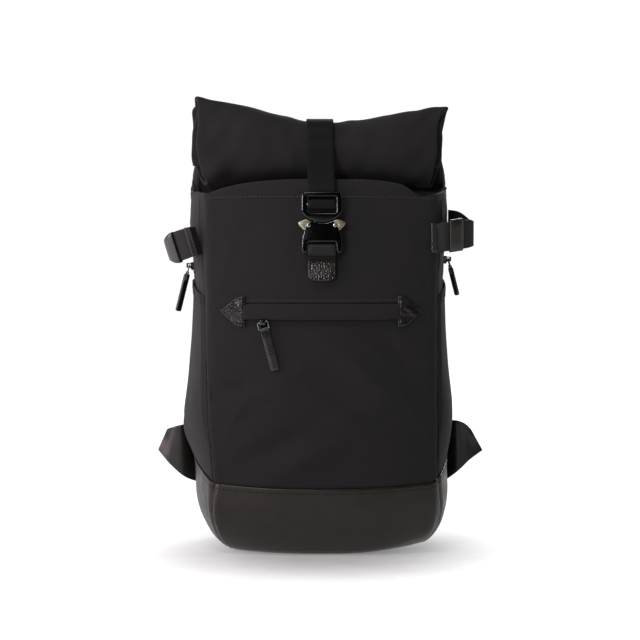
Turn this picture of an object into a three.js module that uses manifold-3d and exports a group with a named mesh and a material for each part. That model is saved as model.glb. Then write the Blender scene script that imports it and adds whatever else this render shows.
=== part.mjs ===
// A roll-top camera backpack standing on its leather foot.
// Millimetres, +Z up. The front faces -Y, and the origin is the middle of the flat base.
import * as THREE from "three";
import { mergeVertices } from "three/addons/utils/BufferGeometryUtils.js";
import Module from "manifold-3d";

const wasm = await Module();
wasm.setup();

// Thicknesses and gaps
const CLOTH = 2.4;
const LEATHER = 2.6;
const THIN_LEATHER = 2;
const WEBBING = 1.8;
const WEB_WIDTH = 30;
const BACK_PAD = 8;
const SEAM = 0.6; // between two sewn edges
const LIE = 0.5; // under a piece that lies on the bag
const STRAP_LIE = 2.2; // under the strap over the uneven roll

// A table with named columns, a row for each section
const table = (columns, rows) =>
  rows.map((row) => Object.fromEntries(columns.split(" ").map((column, i) => [column, row[i]])));

// Outer skin of the bag, as sections from the floor up.
// seam and back are half widths at the front seams and at the back, y values are depths.
const BODY = table("z seam back yFront ySeam yBack corner", [
  [0, 121, 142.5, -92, -74, 80, 18.5],
  [62, 121, 142.5, -93, -75, 80, 18.5],
  [90, 121, 143, -94, -75, 80, 19],
  [140, 121.5, 150.5, -95, -75, 80, 26.5],
  [210, 122, 144.5, -93, -73, 80, 20.5],
  [275, 123, 140.5, -89, -70, 80, 16.5],
  [325, 124, 142, -84, -67, 80, 18],
  [362, 125, 146, -79, -64, 80, 22],
  [388, 125.5, 145, -74, -61, 80, 21],
]);
const PANEL_TOP = 388;
const FRONT_POWER = 2.4; // the higher, the flatter the front in its middle
const FRONT_CELLS = 14;
const FOOT_CELLS = 12;
const SIDE_CELLS = 8;
const SIDE_SHARE = 0.75; // the share of a side that ends where the back corner's arc starts

// The foot's lower edge is a quarter ellipse: its height, and how far each side draws in.
const ROUNDING = { height: 62, seam: 29, side: 41, front: 24, frontSeam: 36, back: 16 };
const BASE_RISE = 4;
const BOOT_TOP = { middle: 73, seam: 78, back: 98 };

// Soft folds on the front, each a ridge (rise above 0) or a dip at x, z, turned by tilt degrees.
const FOLDS = table("x z tilt length width rise", [
  [54, 193, -39, 55, 14, 3],
  [70, 231, -35, 36, 12, -2.5],
  [-82, 185, 15, 36, 11, -2],
  [-34, 200, 20, 42, 16, 1.6],
  [-50, 120, 25, 42, 12, -2],
  [-12, 107, 25, 40, 13, 1.6],
]);

// The neck above the panels: over the lip, down into the crease, under the roll, up to its slot.
// sag lowers the lip towards the seams, dent is the share of the hollow near its right end.
const COLLAR = table("at zFront zBack seam back yFront ySeam yBack corner sag dent", [
  [0, 388, 388, 125.5, 145, -74, -61, 80, 21, 0, 0],
  [1, 402, 397, 125, 145, -71, -58.5, 79, 19, 5, 0.5],
  [2, 410, 405, 124, 144.5, -62, -50, 74, 17, 10, 1],
  [3, 405, 410, 124, 144, -52, -43, 66, 15, 9, 1],
  [4, 398, 414, 125, 143.5, -42, -36, 57, 12, 5, 0.6],
  [5, 395, 420, 129, 142.5, 0, 0, 45, 9, 0, 0],
  [6, 404, 428, 133, 141, 15, 15, 34, 5, 0, 0],
  [7, 433, 435, 136, 138, 19.5, 19.5, 27.5, 3, 0, 0],
]);
const LIP_DENT = { x: 111, width: 12, depth: 8 };

// The roll: a flattened spiral of doubled cloth, wound forward from the slot.
const ROLL = { sheet: 4.4, pitch: 9.5, turns: 1.6, yStart: 23.5, zStart: 435.6, rise: 0.03, half: 138 };
const ROLL_STATIONS = table("at top bottom depth", [
  [-1, 505.5, 393, 24],
  [-0.55, 493.5, 396, 34],
  [-0.2, 480, 401, 32],
  [-0.12, 474.5, 402, 31],
  [0.12, 474.5, 402, 31],
  [0.2, 477, 401, 32],
  [0.55, 486, 397, 34],
  [1, 494, 394, 24],
]);
const ROLL_ENDS = table("at left right", [
  [0, -139.5, 136],
  [0.25, -134.5, 142.5],
  [0.38, -134, 130],
  [0.5, -133, 126],
  [0.75, -125, 122],
  [1, -139, 133],
  [1.25, -136.5, 134.5],
  [1.6, -139.5, 132],
]);

// The buckle lies on the front, tipped back by tilt degrees.
// Its own z runs up from the line of its rivets, its own y back from its middle plane.
const BUCKLE = { y: -91, z: 359.5, tilt: 7, frame: 5, body: 9, bar: 3.4, window: 15.8 };
const FRAME_BAR = { low: 20.5, high: 24.9, windowLow: 13.2, windowHigh: 31.5 };
const BODY_BAR = { low: -26.8, high: -23.2, windowHigh: -13.5 };
const RIVET = { x: 14.3, radius: 2.2, clearance: 0.3, proud: 0.4 };
const LEVER = { thickness: 3, slot: 3.8, inner: 7.5, reach: 30, height: 9 };
const TONGUE = { half: 8, low: -5, thickness: 2.8, clearance: 0.4 };

// Path of the closing strap, as y and z: up the back, over the roll, then round the frame's bar,
// the last in the buckle's own y and z
const STRAP_BACK = [[81.3, 350], [81.3, 386], [80.8, 402], [74, 413], [58, 422], [42, 436]];
const STRAP_TURNS = [0.1, 0.15, 0.2, 0.25, 0.3, 0.35, 0.4, 0.45];
const STRAP_LOOP = [
  [4.4, 40], [4.3, 33], [3.1, 29.5], [0, 28], [-2.4, 26.7], [-3.3, 24.4], [-3.3, 21.4],
  [-2.3, 18.9], [0, 17.9], [2.4, 18.9], [3.5, 21.6], [4.9, 26], [6.8, 31], [7, 43],
];

// Front pocket: a flap over the zip, with an arrow-shaped leather end on each side
const FLAP = { half: 83, low: 257, high: 276, edge: 2, crown: 3.4 };
const FLAP_END = { gap: 0.6, shoulder: 91, tip: 108, tipHalf: 2, half: 15.5 };
const ANCHOR = { half: 14.5, low: 300, high: 319 };

// Zip pulls: a slider with an eye, a wire bail through it, and a tab on the bail
const PULL = {
  slider: 6, wire: 1.7, eye: 1.9, out: 5.8, eyeHeight: 1.8, drop: 9,
  bailHalf: 4.2, neck: 7.2, width: 10, thickness: 3, length: 41,
};
const FRONT_ZIP = { x: -64, z: 250.6, lean: -14, swing: 3 };
const SIDE_ZIP = {
  share: 0.62, lean: 14, left: { z: 312, length: 45 }, right: { z: 316, length: 38 },
};

// Pockets on the sides
const POCKET = { low: 106, hemFront: 275, hemBack: 289, lie: 0.8, lift: 3 };

// Slack loops of webbing on the upper sides: points of their middle lines and, at their front
// ends, the two edges of a leather tab
const SIDE_LOOPS = [
  {
    side: "left", sign: -1,
    path: [
      [131, -52, 343], [140, -57, 342], [151, -55, 338], [162, -47, 334],
      [167.5, -38, 332.5], [164, -29, 334], [154, -14, 338], [144.2, 2, 341],
    ],
    tab: [[[130.5, -55, 327.5], [139, -59, 357]], [[136.5, -57.5, 327], [145, -59, 356]]],
  },
  {
    side: "right", sign: 1,
    path: [
      [126.1, -65.3, 345.5], [139, -66.5, 347.5], [153, -62, 349.5], [164, -54, 350.5],
      [167.5, -45, 350.5], [164, -36, 350.5], [153, -18, 355.5], [144.7, 2, 360.5],
    ],
    tab: [[[118.5, -69.5, 331], [118.5, -66, 361]], [[125.5, -67.5, 331], [125.5, -64.5, 361]]],
  },
];
const KEEPER = { from: 0.2, to: 0.33, slack: 1.2, wall: 1.6 };

// Carrying straps, given for the right side: points of the upper and lower edge of each piece
const WING = {
  upper: [[146.3, 71, 129], [158, 60, 128.5], [167, 61, 126], [174, 71, 123]],
  lower: [[140, 71, 63], [157, 59, 71.5], [172, 60, 85], [185, 71, 100]],
};
const WING_WEBBING = {
  upper: [[174.3, 72.3, 123], [171, 86, 121], [152, 99, 129], [140, 108, 158], [130.3, 114.5, 198.2]],
  lower: [[185.3, 72.3, 100], [183, 91, 99], [158, 106, 106], [130, 110, 138], [110.3, 114.5, 184.2]],
};
const SHOULDER = {
  inner: [
    [22, 81.1, 384], [22, 98, 381], [28, 117, 352], [44, 126, 296], [70, 124, 236], [110, 115, 185.5],
  ],
  outer: [
    [80, 81.1, 384], [81, 98, 379], [88, 117, 348], [102, 126, 300], [120, 122, 246], [130, 115, 199.5],
  ],
  edge: 1.6,
  crown: 5,
};

const FINISHES = {
  cloth: { color: 0x1c1a1d, roughness: 0.92, metalness: 0 },
  padding: { color: 0x19181a, roughness: 0.95, metalness: 0 },
  webbing: { color: 0x1a191b, roughness: 0.75, metalness: 0 },
  footLeather: { color: 0x231f1c, roughness: 0.45, metalness: 0 },
  trimLeather: { color: 0x1b1918, roughness: 0.4, metalness: 0 },
  blackMetal: { color: 0x0c0c0d, roughness: 0.3, metalness: 0.8 },
  bronze: { color: 0x8a7656, roughness: 0.35, metalness: 1 },
  steel: { color: 0xb9b7b2, roughness: 0.25, metalness: 1 },
};

const { lerp, clamp, degToRad } = THREE.MathUtils;
const point = (x, y, z) => new THREE.Vector3(x, y, z);

// Rows of a table between two of its rows: straight, or smooth through every row
function rowAt(rows, key, value, smooth = true) {
  const last = rows.length - 2;
  let i = 0;
  while (i < last && value > rows[i + 1][key]) i += 1;
  const [a, b] = [rows[i], rows[i + 1]];
  const before = rows[Math.max(i - 1, 0)];
  const after = rows[Math.min(i + 2, last + 1)];
  const span = b[key] - a[key];
  const t = clamp((value - a[key]) / span, 0, 1);
  const row = {};
  for (const column of Object.keys(a)) {
    if (column === key) continue;
    if (!smooth) {
      row[column] = lerp(a[column], b[column], t);
      continue;
    }
    const slopeA = ((b[column] - before[column]) / (b[key] - before[key])) * span;
    const slopeB = ((after[column] - a[column]) / (after[key] - a[key])) * span;
    row[column] =
      a[column] * (2 * t ** 3 - 3 * t ** 2 + 1) +
      slopeA * (t ** 3 - 2 * t ** 2 + t) +
      b[column] * (3 * t ** 2 - 2 * t ** 3) +
      slopeB * (t ** 3 - t ** 2);
  }
  return row;
}

function foldRise(x, z) {
  let rise = 0;
  for (const fold of FOLDS) {
    const turn = degToRad(fold.tilt);
    const [dx, dz] = [x - fold.x, z - fold.z];
    const along = (dx * Math.cos(turn) + dz * Math.sin(turn)) / fold.length;
    const across = (dz * Math.cos(turn) - dx * Math.sin(turn)) / fold.width;
    rise += fold.rise * Math.exp(-along * along - across * across);
  }
  return rise;
}

// The bag's section at a height, drawn in towards the floor
function sectionAt(z) {
  const row = rowAt(BODY, "z", z);
  const share = clamp(1 - z / ROUNDING.height, 0, 1);
  const drawIn = 1 - Math.sqrt(1 - share * share);
  return {
    ...row,
    seam: row.seam - ROUNDING.seam * drawIn,
    back: row.back - ROUNDING.side * drawIn,
    yFront: row.yFront + ROUNDING.front * drawIn,
    ySeam: row.ySeam + ROUNDING.frontSeam * drawIn,
    yBack: row.yBack - ROUNDING.back * drawIn,
    zFront: z,
    zBack: z,
    sag: 0,
    dent: 0,
  };
}

// One side from the front seam (share 0) round the back corner (share 1), at x and y
function sidePoint(section, share) {
  const { seam, back, ySeam, yBack, corner } = section;
  const yEnd = yBack - corner;
  if (share <= SIDE_SHARE) {
    const depth = yEnd - ySeam;
    const curve = new THREE.CubicBezierCurve(
      new THREE.Vector2(seam, ySeam),
      new THREE.Vector2(lerp(seam, back, 0.75), ySeam + 0.25 * depth),
      new THREE.Vector2(back, ySeam + 0.6 * depth),
      new THREE.Vector2(back, yEnd),
    );
    return curve.getPoint(share / SIDE_SHARE);
  }
  const turn = (((share - SIDE_SHARE) / (1 - SIDE_SHARE)) * Math.PI) / 2;
  const centre = new THREE.Vector2(back - corner, yEnd);
  return centre.add(new THREE.Vector2(Math.cos(turn), Math.sin(turn)).multiplyScalar(corner));
}

// A point of a section. around runs 0-1 over the front, 1-2 right side, 2-3 back, 3-4 left side.
function ringPoint(section, around) {
  const turn = ((around % 4) + 4) % 4;
  const side = Math.floor(turn);
  const share = turn - side;
  if (side === 0) {
    const across = 2 * share - 1;
    const x = across * section.seam;
    const hollow = LIP_DENT.depth * Math.exp(-(((x - LIP_DENT.x) / LIP_DENT.width) ** 2));
    return point(
      x,
      lerp(section.yFront, section.ySeam, Math.abs(across) ** FRONT_POWER),
      section.zFront - section.sag * across * across - section.dent * hollow,
    );
  }
  if (side === 2) {
    const half = section.back - section.corner;
    return point(lerp(half, -half, share), section.yBack, section.zBack);
  }
  const flat = sidePoint(section, side === 1 ? share : 1 - share);
  const towardsBack = clamp((flat.y - section.ySeam) / (section.yBack - section.ySeam), 0, 1);
  const z = lerp(section.zFront - section.sag, section.zBack, towardsBack);
  return point(side === 1 ? flat.x : -flat.x, flat.y, z);
}

function bagPoint(around, z) {
  const place = ringPoint(sectionAt(z), around);
  if (Math.floor(((around % 4) + 4) % 4) === 0) place.y -= foldRise(place.x, z);
  return place;
}

const bagSurface = (around, z) => bagPoint(around, clamp(z, 0, PANEL_TOP));

function bagNormal(around, z) {
  const [turnStep, riseStep] = [0.02, 1];
  const across = bagSurface(around + turnStep, z).sub(bagSurface(around - turnStep, z));
  const up = bagSurface(around, z + riseStep).sub(bagSurface(around, z - riseStep));
  return across.cross(up).normalize();
}

// The front skin at x and z, and a point that stands off it
const frontAround = (x, z) => (x / sectionAt(z).seam + 1) / 2;
function offFront(x, z, off) {
  const around = frontAround(x, z);
  return bagPoint(around, z).addScaledVector(bagNormal(around, z), off);
}

// A closed wall from a surface of u and v in 0-1. inner and outer are offsets along its normal,
// numbers or functions of u and v. A ring closes on itself in u.
function wall({ surface, normal, across, along, inner, outer, ring = false }) {
  const columns = ring ? across : across + 1;
  const rows = along + 1;
  const amount = (offset, u, v) => (typeof offset === "function" ? offset(u, v) : offset);
  const slope = (u, v) => {
    const [du, dv] = [0.5 / across, 0.5 / along];
    const [u0, u1] = ring ? [u - du, u + du] : [Math.max(u - du, 0), Math.min(u + du, 1)];
    const [v0, v1] = [Math.max(v - dv, 0), Math.min(v + dv, 1)];
    const sideways = surface(u1, v).sub(surface(u0, v));
    return sideways.cross(surface(u, v1).sub(surface(u, v0))).normalize();
  };
  const facing = normal ?? slope;
  const positions = [];
  for (const offset of [outer, inner])
    for (let i = 0; i < columns; i += 1)
      for (let j = 0; j < rows; j += 1) {
        const [u, v] = [i / across, j / along];
        const place = surface(u, v).addScaledVector(facing(u, v), amount(offset, u, v));
        positions.push(place.x, place.y, place.z);
      }
  const at = (skin, i, j) => (skin * columns + (i % columns)) * rows + j;
  const triangles = [];
  const quad = (a, b, c, d) => triangles.push(a, b, c, a, c, d);
  for (let i = 0; i < across; i += 1) {
    for (let j = 0; j < along; j += 1) {
      quad(at(0, i, j), at(0, i + 1, j), at(0, i + 1, j + 1), at(0, i, j + 1));
      quad(at(1, i, j), at(1, i, j + 1), at(1, i + 1, j + 1), at(1, i + 1, j));
    }
    quad(at(0, i, 0), at(1, i, 0), at(1, i + 1, 0), at(0, i + 1, 0));
    quad(at(0, i, along), at(0, i + 1, along), at(1, i + 1, along), at(1, i, along));
  }
  if (!ring)
    for (let j = 0; j < along; j += 1) {
      quad(at(0, 0, j), at(0, 0, j + 1), at(1, 0, j + 1), at(1, 0, j));
      quad(at(0, across, j), at(1, across, j), at(1, across, j + 1), at(0, across, j + 1));
    }
  const geometry = new THREE.BufferGeometry();
  geometry.setAttribute("position", new THREE.Float32BufferAttribute(positions, 3));
  return geometry.setIndex(triangles);
}

// A panel of the bag's skin between two places around it and two height lines
function panel({ from, to, low, high, across, along, thickness, ease = 1 }) {
  const place = (u, v) => {
    const around = lerp(from, to, u);
    return [around, lerp(low(around), high(around), v ** ease)];
  };
  return wall({
    surface: (u, v) => bagSurface(...place(u, v)),
    normal: (u, v) => bagNormal(...place(u, v)),
    across,
    along,
    inner: -thickness,
    outer: 0,
  });
}

// A band between two edges, each a smooth curve through its points
function band({ edges, across, along, inner, outer, mirror = 1 }) {
  const [low, high] = edges.map(
    (points) => new THREE.CatmullRomCurve3(points.map(([x, y, z]) => point(mirror * x, y, z))),
  );
  return wall({
    surface: (u, v) => low.getPoint(v).lerp(high.getPoint(v), u),
    across,
    along,
    inner,
    outer,
  });
}

// Webbing in the plane of y and z, flat across x
function strip(points) {
  const curve = new THREE.CatmullRomCurve3(points.map(([y, z]) => point(0, y, z)), false, "centripetal");
  return wall({
    surface: (u, v) => curve.getPoint(v).setX((u - 0.5) * WEB_WIDTH),
    across: 1,
    along: 2 * (points.length - 1),
    inner: -WEBBING / 2,
    outer: WEBBING / 2,
  });
}

// Closed meshes as solids, for joining and cutting
function solidOf(geometry) {
  const bare = geometry.clone();
  for (const name of Object.keys(bare.attributes)) if (name !== "position") bare.deleteAttribute(name);
  const merged = mergeVertices(bare, 1e-4);
  return new wasm.Manifold(
    new wasm.Mesh({
      numProp: 3,
      vertProperties: merged.attributes.position.array,
      triVerts: new Uint32Array(merged.index.array),
    }),
  );
}

function geometryOf(solid) {
  const mesh = solid.getMesh();
  const geometry = new THREE.BufferGeometry();
  geometry.setAttribute("position", new THREE.BufferAttribute(mesh.vertProperties, 3));
  return geometry.setIndex(new THREE.BufferAttribute(mesh.triVerts, 1));
}

function cut(geometry, tools) {
  return geometryOf(tools.reduce((left, tool) => left.subtract(solidOf(tool)), solidOf(geometry)));
}

function join(geometries) {
  return geometryOf(geometries.map(solidOf).reduce((whole, next) => whole.add(next)));
}

function block([x0, y0, z0], [x1, y1, z1]) {
  const box = new THREE.BoxGeometry(x1 - x0, y1 - y0, z1 - z0);
  return box.translate((x0 + x1) / 2, (y0 + y1) / 2, (z0 + z1) / 2);
}

// An outline through corners, each rounded by a radius
function rounded(corners, radius, Outline = THREE.Shape) {
  const outline = new Outline();
  const places = corners.map(([x, z]) => new THREE.Vector2(x, z));
  places.forEach((corner, i) => {
    const before = places.at(i - 1);
    const after = places[(i + 1) % places.length];
    const enter = corner.clone().lerp(before, Math.min(radius / corner.distanceTo(before), 0.45));
    const leave = corner.clone().lerp(after, Math.min(radius / corner.distanceTo(after), 0.45));
    if (i === 0) outline.moveTo(enter.x, enter.y);
    else outline.lineTo(enter.x, enter.y);
    outline.quadraticCurveTo(corner.x, corner.y, leave.x, leave.y);
  });
  outline.closePath();
  return outline;
}

const rectangle = (x0, z0, x1, z1) => [[x0, z0], [x1, z0], [x1, z1], [x0, z1]];

function roundHole(x, z, radius, sides = 12) {
  const turns = Array.from({ length: sides }, (_, i) => (-2 * Math.PI * i) / sides);
  const spoke = (turn) => new THREE.Vector2(x + radius * Math.cos(turn), z + radius * Math.sin(turn));
  return new THREE.Path(turns.map(spoke));
}

// A plate standing in x and z, centred on y = 0
function plate(outline, thickness, curveSegments = 2) {
  const options = { depth: thickness, bevelEnabled: false, curveSegments };
  return new THREE.ExtrudeGeometry(outline, options).translate(0, 0, -thickness / 2).rotateX(Math.PI / 2);
}

// A profile in y and z, extruded along x about x = 0. Its first coordinate is y.
function profile(outline, width, curveSegments = 2) {
  const options = { depth: width, bevelEnabled: false, curveSegments };
  const geometry = new THREE.ExtrudeGeometry(outline, options);
  return geometry.translate(0, 0, -width / 2).rotateY(Math.PI / 2).rotateX(Math.PI / 2);
}

const bag = new THREE.Group();

function piece(name, geometry, finish, parent = bag) {
  const mesh = new THREE.Mesh(geometry, new THREE.MeshStandardMaterial(FINISHES[finish]));
  mesh.name = name;
  parent.add(mesh);
  return mesh;
}

// Seam lines
const trim = SEAM / 2;
const frontTrim = trim / (2 * BODY[0].seam);
const sideTrim = SEAM / (BODY[0].yBack - BODY[0].ySeam);
function bootTop(around) {
  const side = Math.floor(around);
  const share = around - side;
  if (side === 0) return lerp(BOOT_TOP.middle, BOOT_TOP.seam, (2 * share - 1) ** 2);
  return lerp(BOOT_TOP.seam, BOOT_TOP.back, side === 1 ? share : 1 - share);
}
const overBoot = (around) => bootTop(around) + trim;
const underPanel = (around) => bootTop(around) - trim;
const wallFoot = () => BASE_RISE + trim;
const wallHead = () => PANEL_TOP - trim;

// Leather foot
function baseGeometry() {
  const rim = 0.06; // share of the base, each way, that turns up into its edge
  const inside = (share) => clamp((share - rim) / (1 - 2 * rim), 0, 1);
  const edge = (share) => share < rim / 2 || share > 1 - rim / 2;
  const steps = (count) => {
    const middle = Array.from({ length: count + 1 }, (_, i) => lerp(rim, 1 - rim, i / count));
    return [0, ...middle, 1];
  };
  const [columns, rows] = [steps(FOOT_CELLS), steps(SIDE_CELLS)];
  const pick = (list, share) => list[Math.round(share * (list.length - 1))];
  const coons = (u, v, z) => {
    const section = sectionAt(z);
    const ring = (around) => ringPoint(section, around);
    const across = ring(u).lerp(ring(3 - u), v);
    const along = ring(4 - v).lerp(ring(1 + v), u);
    const corners = ring(0).lerp(ring(1), u).lerp(ring(3).lerp(ring(2), u), v);
    return across.add(along).sub(corners);
  };
  const isRim = (u, v) => edge(pick(columns, u)) || edge(pick(rows, v));
  const rimAround = (u, v) => {
    const [p, q] = [inside(pick(columns, u)), inside(pick(rows, v))];
    if (edge(pick(rows, v))) return pick(rows, v) < 0.5 ? p : 3 - p;
    return pick(columns, u) < 0.5 ? 4 - q : 1 + q;
  };
  return wall({
    surface: (u, v) =>
      isRim(u, v)
        ? bagSurface(rimAround(u, v), BASE_RISE - trim)
        : coons(inside(pick(columns, u)), inside(pick(rows, v)), 0),
    normal: (u, v) => (isRim(u, v) ? bagNormal(rimAround(u, v), BASE_RISE).negate() : point(0, 0, 1)),
    across: columns.length - 1,
    along: rows.length - 1,
    inner: 0,
    outer: LEATHER,
  });
}

// Places around the bag of each wall, clear of the seams
const front = { from: frontTrim, to: 1 - frontTrim };
const right = { from: 1 + sideTrim, to: 2 - sideTrim, across: SIDE_CELLS };
const back = { from: 2 + frontTrim, to: 3 - frontTrim, across: 4 };
const left = { from: 3 + sideTrim, to: 4 - sideTrim, across: SIDE_CELLS };

const boot = { low: wallFoot, high: underPanel, along: 6, thickness: LEATHER, ease: 1.5 };
piece("boot_base", baseGeometry(), "footLeather");
piece("boot_front", panel({ ...front, across: FOOT_CELLS, ...boot }), "footLeather");
piece("boot_side_right", panel({ ...right, ...boot }), "footLeather");
piece("boot_side_left", panel({ ...left, ...boot }), "footLeather");

// Cloth panels and the padded back
const cloth = { low: overBoot, high: wallHead, along: 14, thickness: CLOTH };
piece("front_panel", panel({ ...front, across: FRONT_CELLS, ...cloth }), "cloth");
piece("side_panel_right", panel({ ...right, ...cloth }), "cloth");
piece("side_panel_left", panel({ ...left, ...cloth }), "cloth");
const padding = { low: wallFoot, high: wallHead, along: 12, thickness: BACK_PAD, ease: 1.3 };
piece("back_panel", panel({ ...back, ...padding }), "padding");

// Side pockets, open along their hems
function pocketGeometry(sign) {
  const [start, end] = [2 * sideTrim, SIDE_SHARE];
  const place = (u, v) => {
    const share = sign > 0 ? lerp(start, end, u) : lerp(end, start, u);
    const hem = lerp(POCKET.hemFront, POCKET.hemBack, share);
    return [sign > 0 ? 1 + share : 4 - share, lerp(POCKET.low, hem, v)];
  };
  const lift = (u, v) => POCKET.lie + POCKET.lift * v * v * Math.sin(Math.PI * u);
  return wall({
    surface: (u, v) => bagSurface(...place(u, v)),
    normal: (u, v) => bagNormal(...place(u, v)),
    across: 6,
    along: 7,
    inner: lift,
    outer: (u, v) => lift(u, v) + CLOTH,
  });
}
piece("side_pocket_left", pocketGeometry(-1), "cloth");
piece("side_pocket_right", pocketGeometry(1), "cloth");

// Neck and roll
const collarTop = COLLAR.length - 1;
const collarStart = 0.03;
const collarPoint = (around, at) => ringPoint(rowAt(COLLAR, "at", clamp(at, 0, collarTop)), around);
function collarNormal(around, at) {
  const [turnStep, riseStep] = [0.02, 0.07];
  const across = collarPoint(around + turnStep, at).sub(collarPoint(around - turnStep, at));
  const up = collarPoint(around, at + riseStep).sub(collarPoint(around, at - riseStep));
  return across.cross(up).normalize();
}
const collarPlace = (u, v) => [4 * u, lerp(collarStart, collarTop, v)];
piece(
  "collar",
  wall({
    surface: (u, v) => collarPoint(...collarPlace(u, v)),
    normal: (u, v) => collarNormal(...collarPlace(u, v)),
    across: 32,
    along: 10,
    inner: -CLOTH,
    outer: 0,
    ring: true,
  }),
  "cloth",
);

function rollSection(x) {
  const row = rowAt(ROLL_STATIONS, "at", clamp(x / ROLL.half, -1, 1), false);
  return {
    depth: row.depth,
    half: (row.top - row.bottom - ROLL.sheet) / 2,
    y: ROLL.yStart - row.depth,
    z: (row.top + row.bottom) / 2,
  };
}
function rollPlace(x, turn, off) {
  const section = rollSection(x);
  const angle = 2 * Math.PI * turn;
  const shrink = ROLL.pitch * turn - off;
  return point(
    x,
    section.y + (section.depth - shrink) * Math.cos(angle),
    section.z + (section.half - shrink) * Math.sin(angle),
  );
}
function rollPoint(u, v) {
  const turn = ROLL.turns * Math.max(0, (v - ROLL.rise) / (1 - ROLL.rise));
  const ends = rowAt(ROLL_ENDS, "at", turn);
  const x = lerp(ends.left, ends.right, u);
  const place = rollPlace(x, turn, 0);
  if (v < ROLL.rise) place.z = lerp(ROLL.zStart, place.z, v / ROLL.rise);
  return place;
}
piece(
  "roll_top",
  wall({ surface: rollPoint, across: 11, along: 24, inner: -ROLL.sheet / 2, outer: ROLL.sheet / 2 }),
  "cloth",
);

// Buckle
const buckle = new THREE.Group();
buckle.position.set(0, BUCKLE.y, BUCKLE.z);
buckle.rotation.x = -degToRad(BUCKLE.tilt);
bag.add(buckle);
function offBuckle(y, z) {
  const place = point(0, y, z).applyEuler(buckle.rotation).add(buckle.position);
  return [place.y, place.z];
}

function barCutters(low, high) {
  const [half, reach] = [BUCKLE.window, BUCKLE.body];
  return [
    block([-half, -reach, low], [half, -BUCKLE.bar / 2, high]),
    block([-half, BUCKLE.bar / 2, low], [half, reach, high]),
  ];
}

function frameGeometry() {
  const half = BUCKLE.window;
  const outline = rounded(
    [
      [-20, 36], [-21.8, 30], [-21.8, 14], [-15, 8.2], [-6, 5.8],
      [6, 5.8], [15, 8.2], [21.8, 14], [21.8, 30], [20, 36],
    ],
    3,
  );
  outline.holes = [
    rounded(rectangle(-half, FRAME_BAR.high, half, FRAME_BAR.windowHigh), 1.2, THREE.Path),
    rounded(rectangle(-half, FRAME_BAR.windowLow, half, FRAME_BAR.low), 1.2, THREE.Path),
  ];
  const frame = cut(plate(outline, BUCKLE.frame), barCutters(FRAME_BAR.windowLow, FRAME_BAR.windowHigh));
  const depth = TONGUE.thickness / 2;
  const tongue = block([-TONGUE.half, -depth, TONGUE.low], [TONGUE.half, depth, FRAME_BAR.windowLow - 3]);
  return join([frame, tongue]);
}
piece("buckle_frame", frameGeometry(), "blackMetal", buckle);

function rivetHole(x, length) {
  const radius = RIVET.radius + RIVET.clearance;
  return new THREE.CylinderGeometry(radius, radius, length, 12).translate(x, 0, 0);
}

function bodyGeometry() {
  const half = BUCKLE.window + 0.5;
  const outline = rounded(
    [
      [-12.5, 6], [-18.8, -5.5], [-21.3, -13], [-21.6, -24], [-20.6, -29.5], [-half, -29.5],
      [-half, BODY_BAR.low], [half, BODY_BAR.low],
      [half, -29.5], [20.6, -29.5], [21.6, -24], [21.3, -13], [18.8, -5.5], [12.5, 6],
      [6, 4.8], [-6, 4.8],
    ],
    1.6,
  );
  outline.holes = [
    rounded(rectangle(-BUCKLE.window, BODY_BAR.high, BUCKLE.window, BODY_BAR.windowHigh), 1.5, THREE.Path),
  ];
  const slot = LEVER.slot / 2;
  const tongue = [TONGUE.half + TONGUE.clearance, TONGUE.thickness / 2 + TONGUE.clearance];
  return cut(plate(outline, BUCKLE.body), [
    ...barCutters(BODY_BAR.low - 4, BODY_BAR.windowHigh),
    block([-LEVER.reach, -slot, -LEVER.height], [-LEVER.inner, slot, LEVER.height]),
    block([LEVER.inner, -slot, -LEVER.height], [LEVER.reach, slot, LEVER.height]),
    block([-tongue[0], -tongue[1], TONGUE.low - 1], [tongue[0], tongue[1], LEVER.height]),
    rivetHole(-RIVET.x, 2 * BUCKLE.body),
    rivetHole(RIVET.x, 2 * BUCKLE.body),
  ]);
}
piece("buckle_body", bodyGeometry(), "blackMetal", buckle);

function leverGeometry(sign) {
  const corners = [
    [-9.8, 3.4], [-16.5, 7], [-25.9, 3.6], [-24.6, 0.4], [-18.6, -5.6], [-10.4, -3.6],
  ];
  const outline = rounded(sign < 0 ? corners : corners.map(([x, z]) => [-x, z]).reverse(), 2.4);
  return cut(plate(outline, LEVER.thickness, 3), [rivetHole(sign * RIVET.x, 2 * LEVER.thickness)]);
}
for (const [side, sign] of [["left", -1], ["right", 1]]) {
  piece(`buckle_lever_${side}`, leverGeometry(sign), "bronze", buckle);
  const length = BUCKLE.body + 2 * RIVET.proud;
  const rivet = piece(
    `buckle_rivet_${side}`,
    new THREE.CylinderGeometry(RIVET.radius, RIVET.radius, length, 12),
    "steel",
    buckle,
  );
  rivet.position.x = sign * RIVET.x;
}

// Webbing of the closure
function overRoll() {
  const off = ROLL.sheet / 2 + STRAP_LIE + WEBBING / 2;
  return STRAP_TURNS.map((turn) => rollPlace(0, turn, off)).map(({ y, z }) => [y, z]);
}
const strapLoop = STRAP_LOOP.map(([y, z]) => offBuckle(y, z));
piece("closure_strap", strip([...STRAP_BACK, ...overRoll(), ...strapLoop]), "webbing");

const onPanel = (z, off) => {
  const place = offFront(0, z, off);
  return [place.y, place.z];
};
const anchorPath = [
  onPanel(ANCHOR.low + 3, 1.5), onPanel(ANCHOR.high, 1.6),
  offBuckle(2.9, -32), offBuckle(3.1, -25), offBuckle(1.7, -21.2), offBuckle(-1.7, -21.2),
  offBuckle(-3.1, -25), offBuckle(-2.4, -31), onPanel(ANCHOR.high + 4, 4.4),
  onPanel(ANCHOR.high - 3, 3.9), onPanel(ANCHOR.low + 3, 3.8),
];
piece("anchor_webbing", strip(anchorPath), "webbing");

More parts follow.
